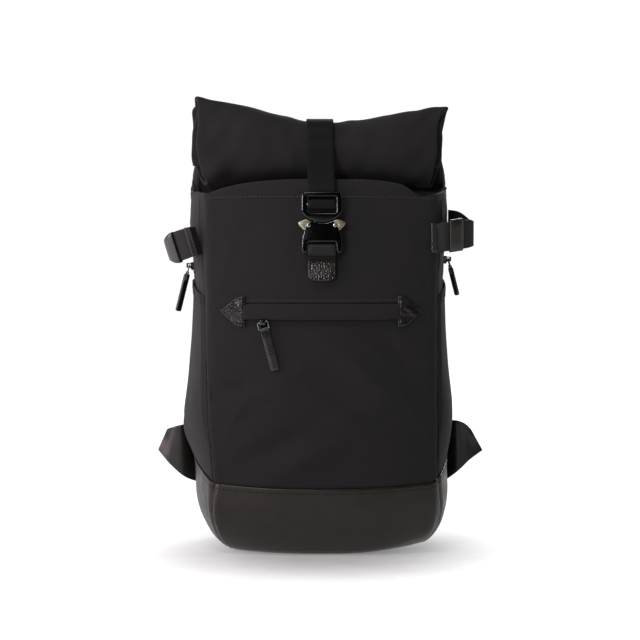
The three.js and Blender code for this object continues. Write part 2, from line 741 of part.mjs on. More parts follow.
// A flat piece on the front between two x and a height line each way
function onFront({ from, to, middle, half, across, along, off, thickness }) {
  const place = (u, v) => {
    const x = lerp(from, to, u);
    return [x, middle + (2 * v - 1) * half(x)];
  };
  return wall({
    surface: (u, v) => offFront(...place(u, v), 0),
    normal: (u, v) => {
      const [x, z] = place(u, v);
      return bagNormal(frontAround(x, z), z);
    },
    across,
    along,
    inner: off,
    outer: (u, v) => off + thickness(u, v),
  });
}

const anchorMiddle = (ANCHOR.low + ANCHOR.high) / 2;
piece(
  "anchor_patch",
  onFront({
    from: -ANCHOR.half, to: ANCHOR.half, middle: anchorMiddle, half: () => ANCHOR.high - anchorMiddle,
    across: 4, along: 3, off: 5.2, thickness: () => THIN_LEATHER,
  }),
  "trimLeather",
);

// Front pocket
const flapMiddle = (FLAP.low + FLAP.high) / 2;
piece(
  "zip_flap",
  onFront({
    from: -FLAP.half, to: FLAP.half, middle: flapMiddle, half: () => (FLAP.high - FLAP.low) / 2,
    across: 16, along: 4, off: LIE, thickness: (u, v) => lerp(FLAP.edge, FLAP.crown, Math.sin(Math.PI * v)),
  }),
  "cloth",
);
function endHalf(x) {
  const share = clamp((Math.abs(x) - FLAP_END.shoulder) / (FLAP_END.tip - FLAP_END.shoulder), 0, 1);
  return lerp(FLAP_END.half, FLAP_END.tipHalf, share);
}
for (const [side, sign] of [["left", -1], ["right", 1]]) {
  const reach = [sign * (FLAP.half + FLAP_END.gap), sign * FLAP_END.tip].sort((a, b) => a - b);
  const shape = { middle: flapMiddle, half: endHalf, off: LIE, thickness: () => THIN_LEATHER };
  piece(
    `zip_end_${side}`,
    onFront({ from: reach[0], to: reach[1], across: 3, along: 2, ...shape }),
    "trimLeather",
  );
}

// Zip pulls. In a pull's own frame -y points away from the bag.
function sliderGeometry() {
  const { out, eyeHeight, eye } = PULL;
  const outline = rounded(
    [
      [-LIE, 5.8], [-3.6, 5.8], [-4.4, 5], [-out - 3.4, 5],
      [-out - 3.4, -1.4], [-4.4, -1.4], [-3.6, -4], [-LIE, -4],
    ],
    1,
  );
  outline.holes = [roundHole(-out, eyeHeight, eye)];
  return profile(outline, PULL.slider);
}
function bailGeometry() {
  const { bailHalf, wire, drop } = PULL;
  const outline = rounded(rectangle(-bailHalf - wire, -drop - wire / 2, bailHalf + wire, wire / 2), 2);
  outline.holes = [rounded(rectangle(-bailHalf, wire / 2 - drop, bailHalf, -wire / 2), 1, THREE.Path)];
  return plate(outline, wire);
}
function tabGeometry(length) {
  const { drop, eye, thickness, width, neck } = PULL;
  const radius = eye + 1.3;
  const outline = new THREE.Shape();
  const half = thickness / 2;
  const reach = Math.sqrt(radius * radius - half * half);
  const start = Math.atan2(-reach, half);
  outline.moveTo(-half, -drop - 9);
  outline.lineTo(half, -drop - 9);
  outline.lineTo(half, -drop - reach);
  outline.absarc(0, -drop, radius, start, Math.PI - start, false);
  outline.closePath();
  outline.holes = [roundHole(0, -drop, eye)];
  const tab = rounded(rectangle(-width / 2, -drop - length, width / 2, -drop - 6), 2.5);
  return join([profile(outline, neck), plate(tab, thickness)]);
}
function zipPull({ name, place, heading, lean, swing, length }) {
  const group = new THREE.Group();
  group.position.copy(place);
  group.rotation.z = heading;
  bag.add(group);
  piece(`${name}_slider`, sliderGeometry(), "blackMetal", group);
  const hanging = new THREE.Group();
  hanging.position.set(0, -PULL.out, PULL.eyeHeight);
  hanging.rotation.set(swing, lean, 0);
  group.add(hanging);
  piece(`${name}_bail`, bailGeometry(), "steel", hanging);
  piece(`${name}_pull`, tabGeometry(length), "trimLeather", hanging);
}
zipPull({
  name: "front", place: offFront(FRONT_ZIP.x, FRONT_ZIP.z, 0.2), heading: 0,
  lean: degToRad(FRONT_ZIP.lean), swing: -degToRad(FRONT_ZIP.swing), length: PULL.length,
});
for (const [side, sign] of [["left", -1], ["right", 1]]) {
  const around = sign > 0 ? 1 + SIDE_ZIP.share : 4 - SIDE_ZIP.share;
  zipPull({
    name: `side_${side}`, place: bagPoint(around, SIDE_ZIP[side].z), heading: (sign * Math.PI) / 2,
    lean: 0, swing: -degToRad(SIDE_ZIP.lean), length: SIDE_ZIP[side].length,
  });
}

// Slack loops of webbing on the upper sides
for (const { side, sign, path, tab } of SIDE_LOOPS) {
  const curve = new THREE.CatmullRomCurve3(path.map(([x, y, z]) => point(sign * x, y, z)));
  const up = point(0, 0, sign * WEB_WIDTH);
  const surface = (u, v) => curve.getPointAt(clamp(v, 0, 1)).addScaledVector(up, u - 0.5);
  const loop = wall({ surface, across: 1, along: 16, inner: -WEBBING / 2, outer: WEBBING / 2 });
  piece(`side_strap_${side}`, loop, "webbing");
  const edges = sign > 0 ? tab : [tab[1], tab[0]];
  const tabShape = { edges, across: 1, along: 2, inner: 0, outer: THIN_LEATHER, mirror: sign };
  piece(`strap_tab_${side}`, band(tabShape), "trimLeather");

  const ringHalf = [WEB_WIDTH / 2 + KEEPER.slack, WEBBING / 2 + KEEPER.slack];
  const keeper = (u, v) => {
    const along = lerp(KEEPER.from, KEEPER.to, v);
    const away = curve.getTangentAt(along).cross(point(0, 0, 1)).normalize();
    const turn = 2 * Math.PI * u;
    const squared = (value) => Math.sign(value) * Math.abs(value) ** 0.4;
    return curve
      .getPointAt(along)
      .add(point(0, 0, ringHalf[0] * squared(Math.cos(turn))))
      .addScaledVector(away, ringHalf[1] * squared(Math.sin(turn)));
  };
  const keeperWall = { across: 12, along: 1, inner: 0, outer: KEEPER.wall, ring: true };
  piece(`strap_keeper_${side}`, wall({ surface: keeper, ...keeperWall }), "trimLeather");
}

// Carrying straps
for (const [side, mirror] of [["left", -1], ["right", 1]]) {
  const order = (a, b) => (mirror > 0 ? [a, b] : [b, a]);
  const wing = { across: 4, along: 6, inner: -LEATHER / 2, outer: LEATHER / 2, mirror };
  piece(`wing_${side}`, band({ edges: order(WING.lower, WING.upper), ...wing }), "trimLeather");
  const web = { across: 2, along: 12, inner: -WEBBING / 2, outer: WEBBING / 2, mirror };
  const webEdges = order(WING_WEBBING.lower, WING_WEBBING.upper);
  piece(`wing_webbing_${side}`, band({ edges: webEdges, ...web }), "webbing");
  const crown = (u) => lerp(SHOULDER.edge, SHOULDER.crown, Math.sqrt(Math.sin(Math.PI * clamp(u, 0, 1))));
  const pad = { across: 6, along: 11, inner: (u) => -crown(u), outer: crown, mirror };
  piece(`shoulder_strap_${side}`, band({ edges: order(SHOULDER.inner, SHOULDER.outer), ...pad }), "padding");
}

export default bag;
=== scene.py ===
"""Looks of a roll-top camera backpack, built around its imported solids.

Sizes are millimetres in the part's frame, +Z up with the front at -Y. Meshes are made in metres.
"""

import logging
import math
from collections.abc import Callable, Sequence
from dataclasses import dataclass
from enum import Enum

import bmesh
import bpy
import numpy as np
from mathutils import Matrix, Vector
from numpy.typing import NDArray


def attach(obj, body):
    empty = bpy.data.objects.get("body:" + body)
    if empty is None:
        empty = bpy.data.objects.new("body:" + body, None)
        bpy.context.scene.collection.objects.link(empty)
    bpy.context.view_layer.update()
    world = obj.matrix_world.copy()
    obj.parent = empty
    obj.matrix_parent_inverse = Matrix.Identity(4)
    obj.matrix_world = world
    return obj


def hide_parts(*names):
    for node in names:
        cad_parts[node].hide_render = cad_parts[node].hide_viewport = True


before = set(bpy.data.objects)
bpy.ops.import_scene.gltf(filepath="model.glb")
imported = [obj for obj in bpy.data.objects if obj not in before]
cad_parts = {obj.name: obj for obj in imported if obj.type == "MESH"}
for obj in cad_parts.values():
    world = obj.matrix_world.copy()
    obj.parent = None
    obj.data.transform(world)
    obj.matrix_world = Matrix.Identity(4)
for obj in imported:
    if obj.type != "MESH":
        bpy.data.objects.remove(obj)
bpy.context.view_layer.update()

Array = NDArray[np.float64]
Points = Sequence[Sequence[float]]
Edges = tuple[Points, Points]
Pair = tuple[float, float]
Triple = tuple[float, float, float]
Colour = Triple
RoundEnds = tuple[bool, bool, bool, bool]
Piece = bpy.types.Object
Mesh = bpy.types.Mesh
Node = bpy.types.Node
Socket = bpy.types.NodeSocket
MM = 0.001
TINY = 1e-9
MERGE_DISTANCE = 2e-6
SHARP_ANGLE = math.radians(50)
HEM_STEPS = 3
ALL_ROUND: RoundEnds = (True, True, True, True)
FIRST_SQUARE: RoundEnds = (True, True, False, True)
LAST_SQUARE: RoundEnds = (True, True, True, False)
LOG = logging.getLogger("backpack")


class Side(Enum):
    """The two sides of the bag, with the sign of their x."""

    LEFT = -1
    RIGHT = 1

    @property
    def word(self) -> str:
        """The side's name as node names spell it."""
        return self.name.lower()


class Slot(Enum):
    """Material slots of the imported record."""

    CLOTH = "cloth"
    PADDING = "padding"
    WEBBING = "webbing"
    FOOT = "foot_leather"
    TRIM = "trim_leather"
    BLACK = "black_metal"
    BRONZE = "bronze"
    STEEL = "steel"


class Held(Enum):
    """How a sheet of cloth is held."""

    STRETCHED = "stretched"
    FOLDED = "folded"


# Numbers


def lerp(a: Array | float, b: Array | float, t: Array | float) -> Array:
    """Go from a to b by the share t."""
    return a + (b - a) * np.asarray(t, float)


def unit(v: Array) -> Array:
    """Scale vectors to a length of 1."""
    return v / np.maximum(np.linalg.norm(v, axis=-1, keepdims=True), TINY)


def bump(distance: Array, width: float) -> Array:
    """A soft hump of height 1 at distance 0."""
    return np.exp(-((distance / width) ** 2))


def ramp(distance: Array | float, width: float) -> Array:
    """Rise from 0 at distance 0 to 1 at a width."""
    return np.clip(distance / width, 0, 1)


def lengths(points: Array) -> Array:
    """Length along a line of points, from its start to each of them."""
    return np.append(0, np.cumsum(np.linalg.norm(np.diff(points, axis=0), axis=1)))


def read_along(values: Array, known: Array, wanted: Array) -> Array:
    """Read rows of values, given at known lengths, at wanted ones."""
    return np.stack([np.interp(wanted, known, column) for column in values.T], -1)


def soft_noise(a: Array, b: Array, size: float, seed: int) -> Array:
    """Smooth uneven waves over a plane, about -1 to 1.

    Args:
        a: First coordinate.
        b: Second coordinate.
        size: Usual length of a wave.
        seed: Fixes the waves.

    Returns:
        The waves' height at each point.
    """
    rng = np.random.default_rng(seed)
    total = np.zeros(np.broadcast(a, b).shape)
    count, spread = 9, (0.6, 1.7)
    for _ in range(count):
        heading, phase = rng.uniform(0, 2 * np.pi, 2)
        wave = 2 * np.pi / (size * rng.uniform(*spread))
        total += np.sin(wave * (a * np.cos(heading) + b * np.sin(heading)) + phase)
    return total / (count / 2)


def smooth_path(points: Points, count: int, even: bool = False) -> Array:
    """A centripetal curve through points.

    Args:
        points: Points of the curve, in any number of dimensions.
        count: How many samples to take.
        even: Space the samples evenly along the curve.

    Returns:
        The samples, one a row.
    """
    fine_steps = 40
    fixed = np.array(points, float)
    ends = np.vstack([2 * fixed[0] - fixed[1], fixed, 2 * fixed[-1] - fixed[-2]])
    place = np.linspace(0, len(fixed) - 1, fine_steps * len(fixed) if even else count)
    i = np.minimum(place.astype(int), len(fixed) - 2)
    w = (place - i)[:, None]
    p = [ends[i + k] for k in range(4)]
    step = [np.linalg.norm(p[k + 1] - p[k], axis=1, keepdims=True) ** 0.5 for k in range(3)]
    leave = (p[1] - p[0]) / step[0] - (p[2] - p[0]) / (step[0] + step[1]) + (p[2] - p[1]) / step[1]
    enter = (p[2] - p[1]) / step[1] - (p[3] - p[1]) / (step[1] + step[2]) + (p[3] - p[2]) / step[2]
    leave, enter = leave * step[1], enter * step[1]
    curve = p[1] + w * leave
    curve += w**2 * (3 * (p[2] - p[1]) - 2 * leave - enter)
    curve += w**3 * (2 * (p[1] - p[2]) + leave + enter)
    if not even:
        return curve
    length = lengths(curve)
    return read_along(curve, length, np.linspace(0, length[-1], count))


@dataclass(frozen=True)
class Table:
    """Rows of sizes with named columns. The first column is the key."""

    columns: str
    rows: tuple[tuple[float, ...], ...]
    smooth: bool = True

    def at(self, value: Array | float) -> dict[str, Array]:
        """Read the columns between rows.

        Args:
            value: Places along the key column.

        Returns:
            Every other column at those places.
        """
        rows = np.array(self.rows, float)
        value = np.asarray(value, float)
        last = len(rows) - 2
        i = np.clip(np.searchsorted(rows[:, 0], value) - 1, 0, last)
        a, b = rows[i], rows[i + 1]
        before, after = rows[np.maximum(i - 1, 0)], rows[np.minimum(i + 2, last + 1)]
        span = b[..., :1] - a[..., :1]
        t = np.clip((value[..., None] - a[..., :1]) / span, 0, 1)
        mixed = lerp(a, b, t)
        if self.smooth:
            leave = (b - before) / (b[..., :1] - before[..., :1]) * span
            enter = (after - a) / (after[..., :1] - a[..., :1]) * span
            mixed = a * (2 * t**3 - 3 * t**2 + 1) + leave * (t**3 - 2 * t**2 + t)
            mixed = mixed + b * (3 * t**2 - 2 * t**3) + enter * (t**3 - t**2)
        return {name: mixed[..., k] for k, name in enumerate(self.columns.split()) if k}


# Relief of cloth and leather


@dataclass(frozen=True)
class Ripple:
    """Smooth uneven waves of a height and a usual length, fixed by a seed."""

    height: float
    size: float
    seed: int

    def rise(self, a: Array, b: Array) -> Array:
        """How far the waves stand out over a plane."""
        return self.height * soft_noise(a, b, self.size, self.seed)


def rippled(ripples: Sequence[Ripple], a: Array, b: Array) -> Array:
    """How far several waves together stand out over a plane."""
    return sum(ripple.rise(a, b) for ripple in ripples)


@dataclass(frozen=True)
class Fold:
    """A soft fold of the front: its middle, tilt in degrees and size. A dip has a negative height."""

    x: float
    z: float
    tilt: float
    length: float
    width: float
    height: float

    def rise(self, x: Array, z: Array) -> Array:
        """How far the fold stands out.

        Args:
            x: Places across the front.
            z: Heights.

        Returns:
            The rise at each place.
        """
        turn = math.radians(self.tilt)
        dx, dz = x - self.x, z - self.z
        along = dx * math.cos(turn) + dz * math.sin(turn)
        across = dz * math.cos(turn) - dx * math.sin(turn)
        return self.height * bump(along, self.length) * bump(across, self.width)


@dataclass(frozen=True)
class SeamRelief:
    """Relief beside a seam: a groove along it, and the ridge of the turned edge inside it."""

    ridge: float
    inside: float
    ridge_width: float
    groove: float
    groove_width: float

    def rise(self, away: Array) -> Array:
        """How far a piece stands out at distances from its seam."""
        ridge = self.ridge * bump(away - self.inside, self.ridge_width)
        return ridge - self.groove * bump(away, self.groove_width)


@dataclass(frozen=True)
class Pucker:
    """Small puckers beside a seam, made uneven by a ripple."""

    height: float
    inside: float
    width: float
    wave: float
    drift: Ripple

    def rise(self, away: Array, across: Array, z: Array) -> Array:
        """How far the puckers stand out at distances from the seam, and at places on the piece."""
        beside = self.height * bump(away - self.inside, self.width)
        return beside * np.sin(z / self.wave + self.drift.rise(across, z))


# Forms and meshes


@dataclass
class Form:
    """A surface made of quads, with a flat place in metres for every corner."""

    points: Array
    faces: NDArray[np.int64]
    flat: Array

    @property
    def cut(self) -> Pair:
        """Width and length of the flat cut, in metres."""
        size = np.ptp(self.flat.reshape(-1, 2), axis=0)
        return float(size[0]), float(size[1])


def hem(count: int, steps: int, soft: tuple[bool, bool]) -> tuple[Array, Array, Array]:
    """Rows of a grid with its two ends closed, each round or square.

    Args:
        count: Rows of the grid.
        steps: Extra rows in a round end.
        soft: Whether the first and the last end are round.

    Returns:
        Row numbers, how far each row is pushed out and what share of the thickness it keeps.
    """
    turn = np.linspace(0, np.pi / 2, steps + 1)[1:]
    ends = [(np.sin(turn), np.cos(turn)) if is_soft else (np.zeros(1), np.zeros(1)) for is_soft in soft]
    (push_a, keep_a), (push_b, keep_b) = ends
    keep_a[-1] = keep_b[-1] = 0
    place = np.concatenate([np.zeros(len(push_a)), np.arange(count), np.full(len(push_b), count - 1)])
    push = np.concatenate([-push_a[::-1], np.zeros(count), push_b])
    keep = np.concatenate([keep_a[::-1], np.ones(count), keep_b])
    return place.astype(int), push, keep


def wall(
    grid: Array,
    inner: Array | float,
    outer: Array | float,
    ring: bool = False,
    soft: RoundEnds = ALL_ROUND,
) -> Form:
    """A closed wall round a grid of points.

    Args:
        grid: Points in millimetres, columns by rows by 3.
        inner: Offset of the inner face along the grid's normal.
        outer: Offset of the outer face.
        ring: Whether the columns close on themselves.
        soft: Whether each end is round: first and last column, first and last row.

    Returns:
        The wall, its faces outwards.
    """
    columns, rows = grid.shape[:2]
    along_u = np.roll(grid, -1, 0) - np.roll(grid, 1, 0) if ring else np.gradient(grid, axis=0)
    along_u, along_v = unit(along_u), unit(np.gradient(grid, axis=1))
    normal = unit(np.cross(along_u, along_v))
    inner, outer = np.broadcast_to(inner, (columns, rows)), np.broadcast_to(outer, (columns, rows))
    half = (outer - inner) / 2
    middle = grid + normal * ((outer + inner) / 2)[..., None]
    still = (np.arange(columns), np.zeros(columns), np.ones(columns))
    u, push_u, keep_u = still if ring else hem(columns, HEM_STEPS, soft[:2])
    v, push_v, keep_v = hem(rows, HEM_STEPS, soft[2:])
    pick = np.ix_(u, v)
    half = half[pick]
    place = middle[pick]
    place = place + along_u[pick] * (half * push_u[:, None])[..., None]
    place = place + along_v[pick] * (half * push_v[None, :])[..., None]
    lift = normal[pick] * (half * keep_u[:, None] * keep_v[None, :])[..., None]
    top = np.arange(len(u) * len(v)).reshape(len(u), len(v))
    edge = np.zeros(top.shape, bool)
    edge[:, [0, -1]] = True
    if not ring:
        edge[[0, -1]] = True
    under = top.copy()
    under[~edge] = top.size + np.arange(np.count_nonzero(~edge))
    points = np.concatenate([(place + lift).reshape(-1, 3), (place - lift)[~edge]])
    i, j = np.meshgrid(np.arange(len(u) - (not ring)), np.arange(len(v) - 1), indexing="ij")
    k = (i + 1) % len(u)
    front = np.stack([top[i, j], top[k, j], top[k, j + 1], top[i, j + 1]], -1)
    back = np.stack([under[i, j], under[i, j + 1], under[k, j + 1], under[k, j]], -1)
    across = np.linalg.norm(np.diff(grid, axis=0, append=grid[:1]), axis=-1).mean(1)
    along = np.linalg.norm(np.diff(grid, axis=1), axis=-1).mean(0)
    length_u, length_v = np.append(0, np.cumsum(across)), np.append(0, np.cumsum(along))
    flat_u = np.append(length_u[u] + push_u * half.mean(), length_u[-1])
    flat_v = length_v[v] + push_v * half.mean()
    corner = [np.stack([flat_u[i + a], flat_v[j + b]], -1) for a, b in ((0, 0), (1, 0), (1, 1), (0, 1))]
    flat = np.concatenate(
        [np.stack(corner, 2).reshape(-1, 2), np.stack([corner[k] for k in (0, 3, 2, 1)], 2).reshape(-1, 2)]
    )
    return Form(points, np.concatenate([front.reshape(-1, 4), back.reshape(-1, 4)]), flat * MM)


def link(piece: Piece) -> Piece:
    """Link an object into the scene."""
    bpy.context.scene.collection.objects.link(piece)
    return piece


def mesh_object(name: str, mesh: Mesh, finish: "Finish") -> Piece:
    """Link a mesh into the scene.

    Args:
        name: Name of the piece.
        mesh: Its mesh, in place.
        finish: Its one finish.

    Returns:
        The linked piece.
    """
    mesh.name = name
    mesh.materials.clear()
    mesh.materials.append(finish.material())
    mesh.shade_smooth()
    mesh.set_sharp_from_angle(angle=SHARP_ANGLE)
    return link(bpy.data.objects.new(name, mesh))


def form_object(name: str, form: Form, finish: "Finish") -> Piece:
    """Make a piece from a form.

    Args:
        name: Name of the piece.
        form: Its surface.
        finish: Its finish.

    Returns:
        The linked piece, with doubles merged.
    """
    mesh = bpy.data.meshes.new(name)
    mesh.from_pydata((form.points * MM).tolist(), [], form.faces.tolist())
    layer = mesh.uv_layers.new(name="cut")
    layer.data.foreach_set("uv", form.flat.ravel())
    shape = bmesh.new()
    shape.from_mesh(mesh)
    bmesh.ops.remove_doubles(shape, verts=shape.verts, dist=MERGE_DISTANCE)
    bmesh.ops.dissolve_degenerate(shape, edges=shape.edges, dist=MERGE_DISTANCE)
    shape.to_mesh(mesh)
    shape.free()
    return mesh_object(name, mesh, finish)


def fit(
    piece: Piece, slot: Slot, nodes: Sequence[str] = (), body: str = "bag"
) -> Piece:
    """Give a finished piece its body, hide the solids it stands for, and report it.

    Args:
        piece: The piece.
        slot: The record's slot; not used.
        nodes: Solids it stands for.
        body: The body it moves with.

    Returns:
        The same piece.
    """
    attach(piece, body)
    if nodes:
        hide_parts(*nodes)
    LOG.info("%s: %d faces, on %s, for %s", piece.name, len(piece.data.polygons), body, list(nodes))
    return piece


def fitted(
    name: str, shape: Form | Mesh, finish: "Finish", slot: Slot, node: str = "", body: str = "bag"
) -> Piece:
    """Make a piece and fit it for its solid, which has its name in small letters if none is given."""
    make = form_object if isinstance(shape, Form) else mesh_object
    return fit(make(name, shape, finish), slot, (node or name.lower(),), body)


def cloth_piece(name: str, form: Form, held: Held, node: str = "") -> None:
    """Make a sheet of the bag's cloth and fit it for its solid."""
    piece = fitted(name, form, CLOTH, Slot.CLOTH, node)
    form.cut


def outline(corners: Points, radius: float, steps: int = 5) -> Array:
    """A closed outline with round corners.

    Args:
        corners: Corners, counter-clockwise.
        radius: How far from a corner its curve starts.
        steps: Samples of each curve.

    Returns:
        Points of the outline.
    """
    fixed = np.array(corners, float)
    t = np.linspace(0, 1, steps)[:, None]
    points = []
    for i, corner in enumerate(fixed):
        enter, leave = (
            lerp(corner, other, min(radius / np.linalg.norm(other - corner), 0.45))
            for other in (fixed[i - 1], fixed[(i + 1) % len(fixed)])
        )
        points.append((1 - t) ** 2 * enter + 2 * t * (1 - t) * corner + t**2 * leave)
    return np.concatenate(points)


def mirrored(corners: Sequence[Pair]) -> tuple[Pair, ...]:
    """Corners of the other half of a shape, in the order that goes on round it."""
    return tuple((-x, z) for x, z in reversed(corners))


def box_outline(half: float, low: float, high: float, radius: float, steps: int = 5) -> Array:
    """An upright box with round corners, about x = 0, as an outline."""
    return outline(((-half, low), (half, low), (half, high), (-half, high)), radius, steps)


def round_outline(x: float, z: float, radius: float, steps: int = 24) -> Array:
    """A circle as an outline."""
    turn = np.linspace(0, 2 * np.pi, steps, endpoint=False)
    return np.stack([x + radius * np.cos(turn), z + radius * np.sin(turn)], -1)


def plate(
    loops: Sequence[Array], depth: Pair, edge: float, place: Matrix
) -> Mesh:
    """A plate with bevelled edges, standing in x and z.

    Args:
        loops: Its outline and then its holes, in millimetres.
        depth: Its lowest and highest y.
        edge: Width of the bevel.
        place: Turns and moves the plate, in metres.

    Returns:
        The mesh, placed.
    """
    curve = bpy.data.curves.new("plate", "CURVE")
    curve.dimensions = "2D"
    curve.fill_mode = "BOTH"
    curve.extrude = ((depth[1] - depth[0]) / 2 - edge) * MM
    curve.bevel_depth = edge * MM
    curve.bevel_resolution = 2
    curve.offset = -edge * MM
    for loop in loops:
        spline = curve.splines.new("POLY")
        spline.points.add(len(loop) - 1)
        flat = np.concatenate([loop * MM, np.zeros((len(loop), 1)), np.ones((len(loop), 1))], 1)
        spline.points.foreach_set("co", flat.ravel())
        spline.use_cyclic_u = True
    holder = link(bpy.data.objects.new("plate", curve))
    mesh = bpy.data.meshes.new_from_object(holder.evaluated_get(bpy.context.evaluated_depsgraph_get()))
    bpy.data.objects.remove(holder)
    stand = Matrix.Translation((0, sum(depth) / 2 * MM, 0)) @ Matrix.Rotation(math.pi / 2, 4, "X")
    mesh.transform(place @ stand)
    return mesh


def wire_ring(points: Array, radius: float, place: Matrix, sides: int = 10) -> Mesh:
    """A round wire bent into a ring.

    Args:
        points: Points of its middle line, in millimetres.
        radius: Its radius.
        place: Turns and moves it, in metres.
        sides: Corners of its section.

    Returns:
        The mesh, placed.
    """
    tangent = unit(np.roll(points, -1, 0) - np.roll(points, 1, 0))
    guide = np.tile([0.0, 1.0, 0.0], (len(points), 1))
    side = unit(np.cross(tangent, guide))
    up = np.cross(side, tangent)
    turn = np.linspace(0, 2 * np.pi, sides, endpoint=False)[:, None, None]
    skin = points + radius * (np.cos(turn) * side + np.sin(turn) * up)
    i, j = np.meshgrid(np.arange(sides), np.arange(len(points)), indexing="ij")
    next_i, next_j = (i + 1) % sides, (j + 1) % len(points)
    corners = ((i, j), (next_i, j), (next_i, next_j), (i, next_j))
    faces = np.stack([a * len(points) + b for a, b in corners], -1).reshape(-1, 4)
    mesh = bpy.data.meshes.new("wire")
    mesh.from_pydata((skin.reshape(-1, 3) * MM).tolist(), [], faces.tolist())
    return tidy_mesh(mesh, place)


def tidy_mesh(mesh: Mesh, place: Matrix = Matrix.Identity(4)) -> Mesh:
    """Merge a mesh's doubles, close its holes, turn its faces outwards and place it.

    Args:
        mesh: The mesh, which is changed.
        place: Turns and moves it, in metres.

    Returns:
        The same mesh.
    """
    shape = bmesh.new()
    shape.from_mesh(mesh)
    bmesh.ops.remove_doubles(shape, verts=shape.verts, dist=MERGE_DISTANCE)
    holes = [edge for edge in shape.edges if edge.is_boundary]
    if holes:
        bmesh.ops.holes_fill(shape, edges=holes)
    bmesh.ops.recalc_face_normals(shape, faces=shape.faces)
    shape.to_mesh(mesh)
    shape.free()
    mesh.transform(place)
    return mesh


def joined(meshes: Sequence[Mesh]) -> Mesh:
    """Put several meshes into one.

    Args:
        meshes: The meshes, which are used up.

    Returns:
        The new mesh.
    """
    shape = bmesh.new()
    for mesh in meshes:
        shape.from_mesh(mesh)
    whole = bpy.data.meshes.new("joined")
    shape.to_mesh(whole)
    shape.free()
    for mesh in meshes:
        bpy.data.meshes.remove(mesh)
    return tidy_mesh(whole)


@dataclass
class Sheet:
    """A piece laid out as a grid of points, with its two faces off the grid."""

    grid: Array
    inner: Array | float
    outer: Array | float
    ring: bool = False

    def normals(self) -> Array:
        """Find the way the outer face looks.

        Returns:
            A normal for each point of the grid.
        """
        turned = np.roll(self.grid, -1, 0) - np.roll(self.grid, 1, 0)
        across = turned if self.ring else np.gradient(self.grid, axis=0)
        return unit(np.cross(unit(across), unit(np.gradient(self.grid, axis=1))))

    def raised(self, amount: Array) -> "Sheet":
        """The same sheet with its grid moved along its normals."""
        return Sheet(self.grid + self.normals() * amount[..., None], self.inner, self.outer, self.ring)

    def form(self, soft: RoundEnds = ALL_ROUND) -> Form:
        """The sheet as a closed wall."""
        return wall(self.grid, self.inner, self.outer, self.ring, soft)

    def line(self, u: Array | float, v: Array | float, outer: bool = True) -> "StitchRow":
        """A line over one face.

        Args:
            u: Shares of the width.
            v: Shares of the length.
            outer: Whether it runs on the outer face.

        Returns:
            Points on the face, with their normals.
        """
        u, v = np.broadcast_arrays(np.asarray(u, float), np.asarray(v, float))
        sizes = self.grid.shape
        a, b = np.clip(u, 0, 1) * (sizes[0] - 1), np.clip(v, 0, 1) * (sizes[1] - 1)
        i, j = np.minimum(a.astype(int), sizes[0] - 2), np.minimum(b.astype(int), sizes[1] - 2)
        s, t = (a - i)[..., None], (b - j)[..., None]

        def mixed(field_: Array) -> Array:
            """Values of the grid's field, read along the line."""
            low = lerp(field_[i, j], field_[i + 1, j], s)
            return lerp(low, lerp(field_[i, j + 1], field_[i + 1, j + 1], s), t)

        facing = unit(mixed(self.normals()))
        offset = np.broadcast_to(self.outer if outer else self.inner, sizes[:2])[..., None]
        return StitchRow(mixed(self.grid) + facing * mixed(offset), facing if outer else -facing)


@dataclass
class StitchRow:
    """A line to sew along: points and the way the thread faces."""

    points: Array
    facing: Array


def even_line(row: StitchRow, step: float) -> StitchRow:
    """Space a line's points evenly.

    Args:
        row: The line.
        step: About how far apart its points will be.

    Returns:
        The line with its new points.
    """
    length = lengths(row.points)
    wanted = np.linspace(0, length[-1], max(2, int(length[-1] / step) + 1))
    facing = unit(read_along(row.facing, length, wanted))
    return StitchRow(read_along(row.points, length, wanted), facing)


# Finishes


class Wiring:
    """A node tree while it is wired."""

    def __init__(self, tree: bpy.types.NodeTree) -> None:
        """Take the tree to wire."""
        self.tree = tree

    def add(self, kind: str, inputs: dict[str | int, object], **settings: object) -> Node:
        """Add a node.

        Args:
            kind: The node's type.
            inputs: Values or sockets for its inputs.
            settings: Its own settings.

        Returns:
            The node.
        """
        node = self.tree.nodes.new(kind)
        for key, value in settings.items():
            setattr(node, key, value)
        self.feed(node, inputs)
        return node

    def feed(self, node: Node, inputs: dict[str | int, object]) -> None:
        """Set a node's inputs.

        Args:
            node: The node.
            inputs: Values to set, or sockets to link.
        """
        for key, value in inputs.items():
            if isinstance(value, Socket):
                self.tree.links.new(value, node.inputs[key])
            else:
                node.inputs[key].default_value = value

    def mapped(
        self, value: Socket, span: Sequence[float], to: Sequence[float], **settings: object
    ) -> Socket:
        """A number that runs over a range as another one runs over its span.

        Args:
            value: The number that is read.
            span: Where it starts and ends.
            to: What its start and end become.
            settings: The node's own settings.

        Returns:
            The new number.
        """
        names = ("From Min", "From Max", "To Min", "To Max")
        inputs = {"Value": value, **dict(zip(names, (*span, *to)))}
        return self.add("ShaderNodeMapRange", inputs, **settings).outputs[0]


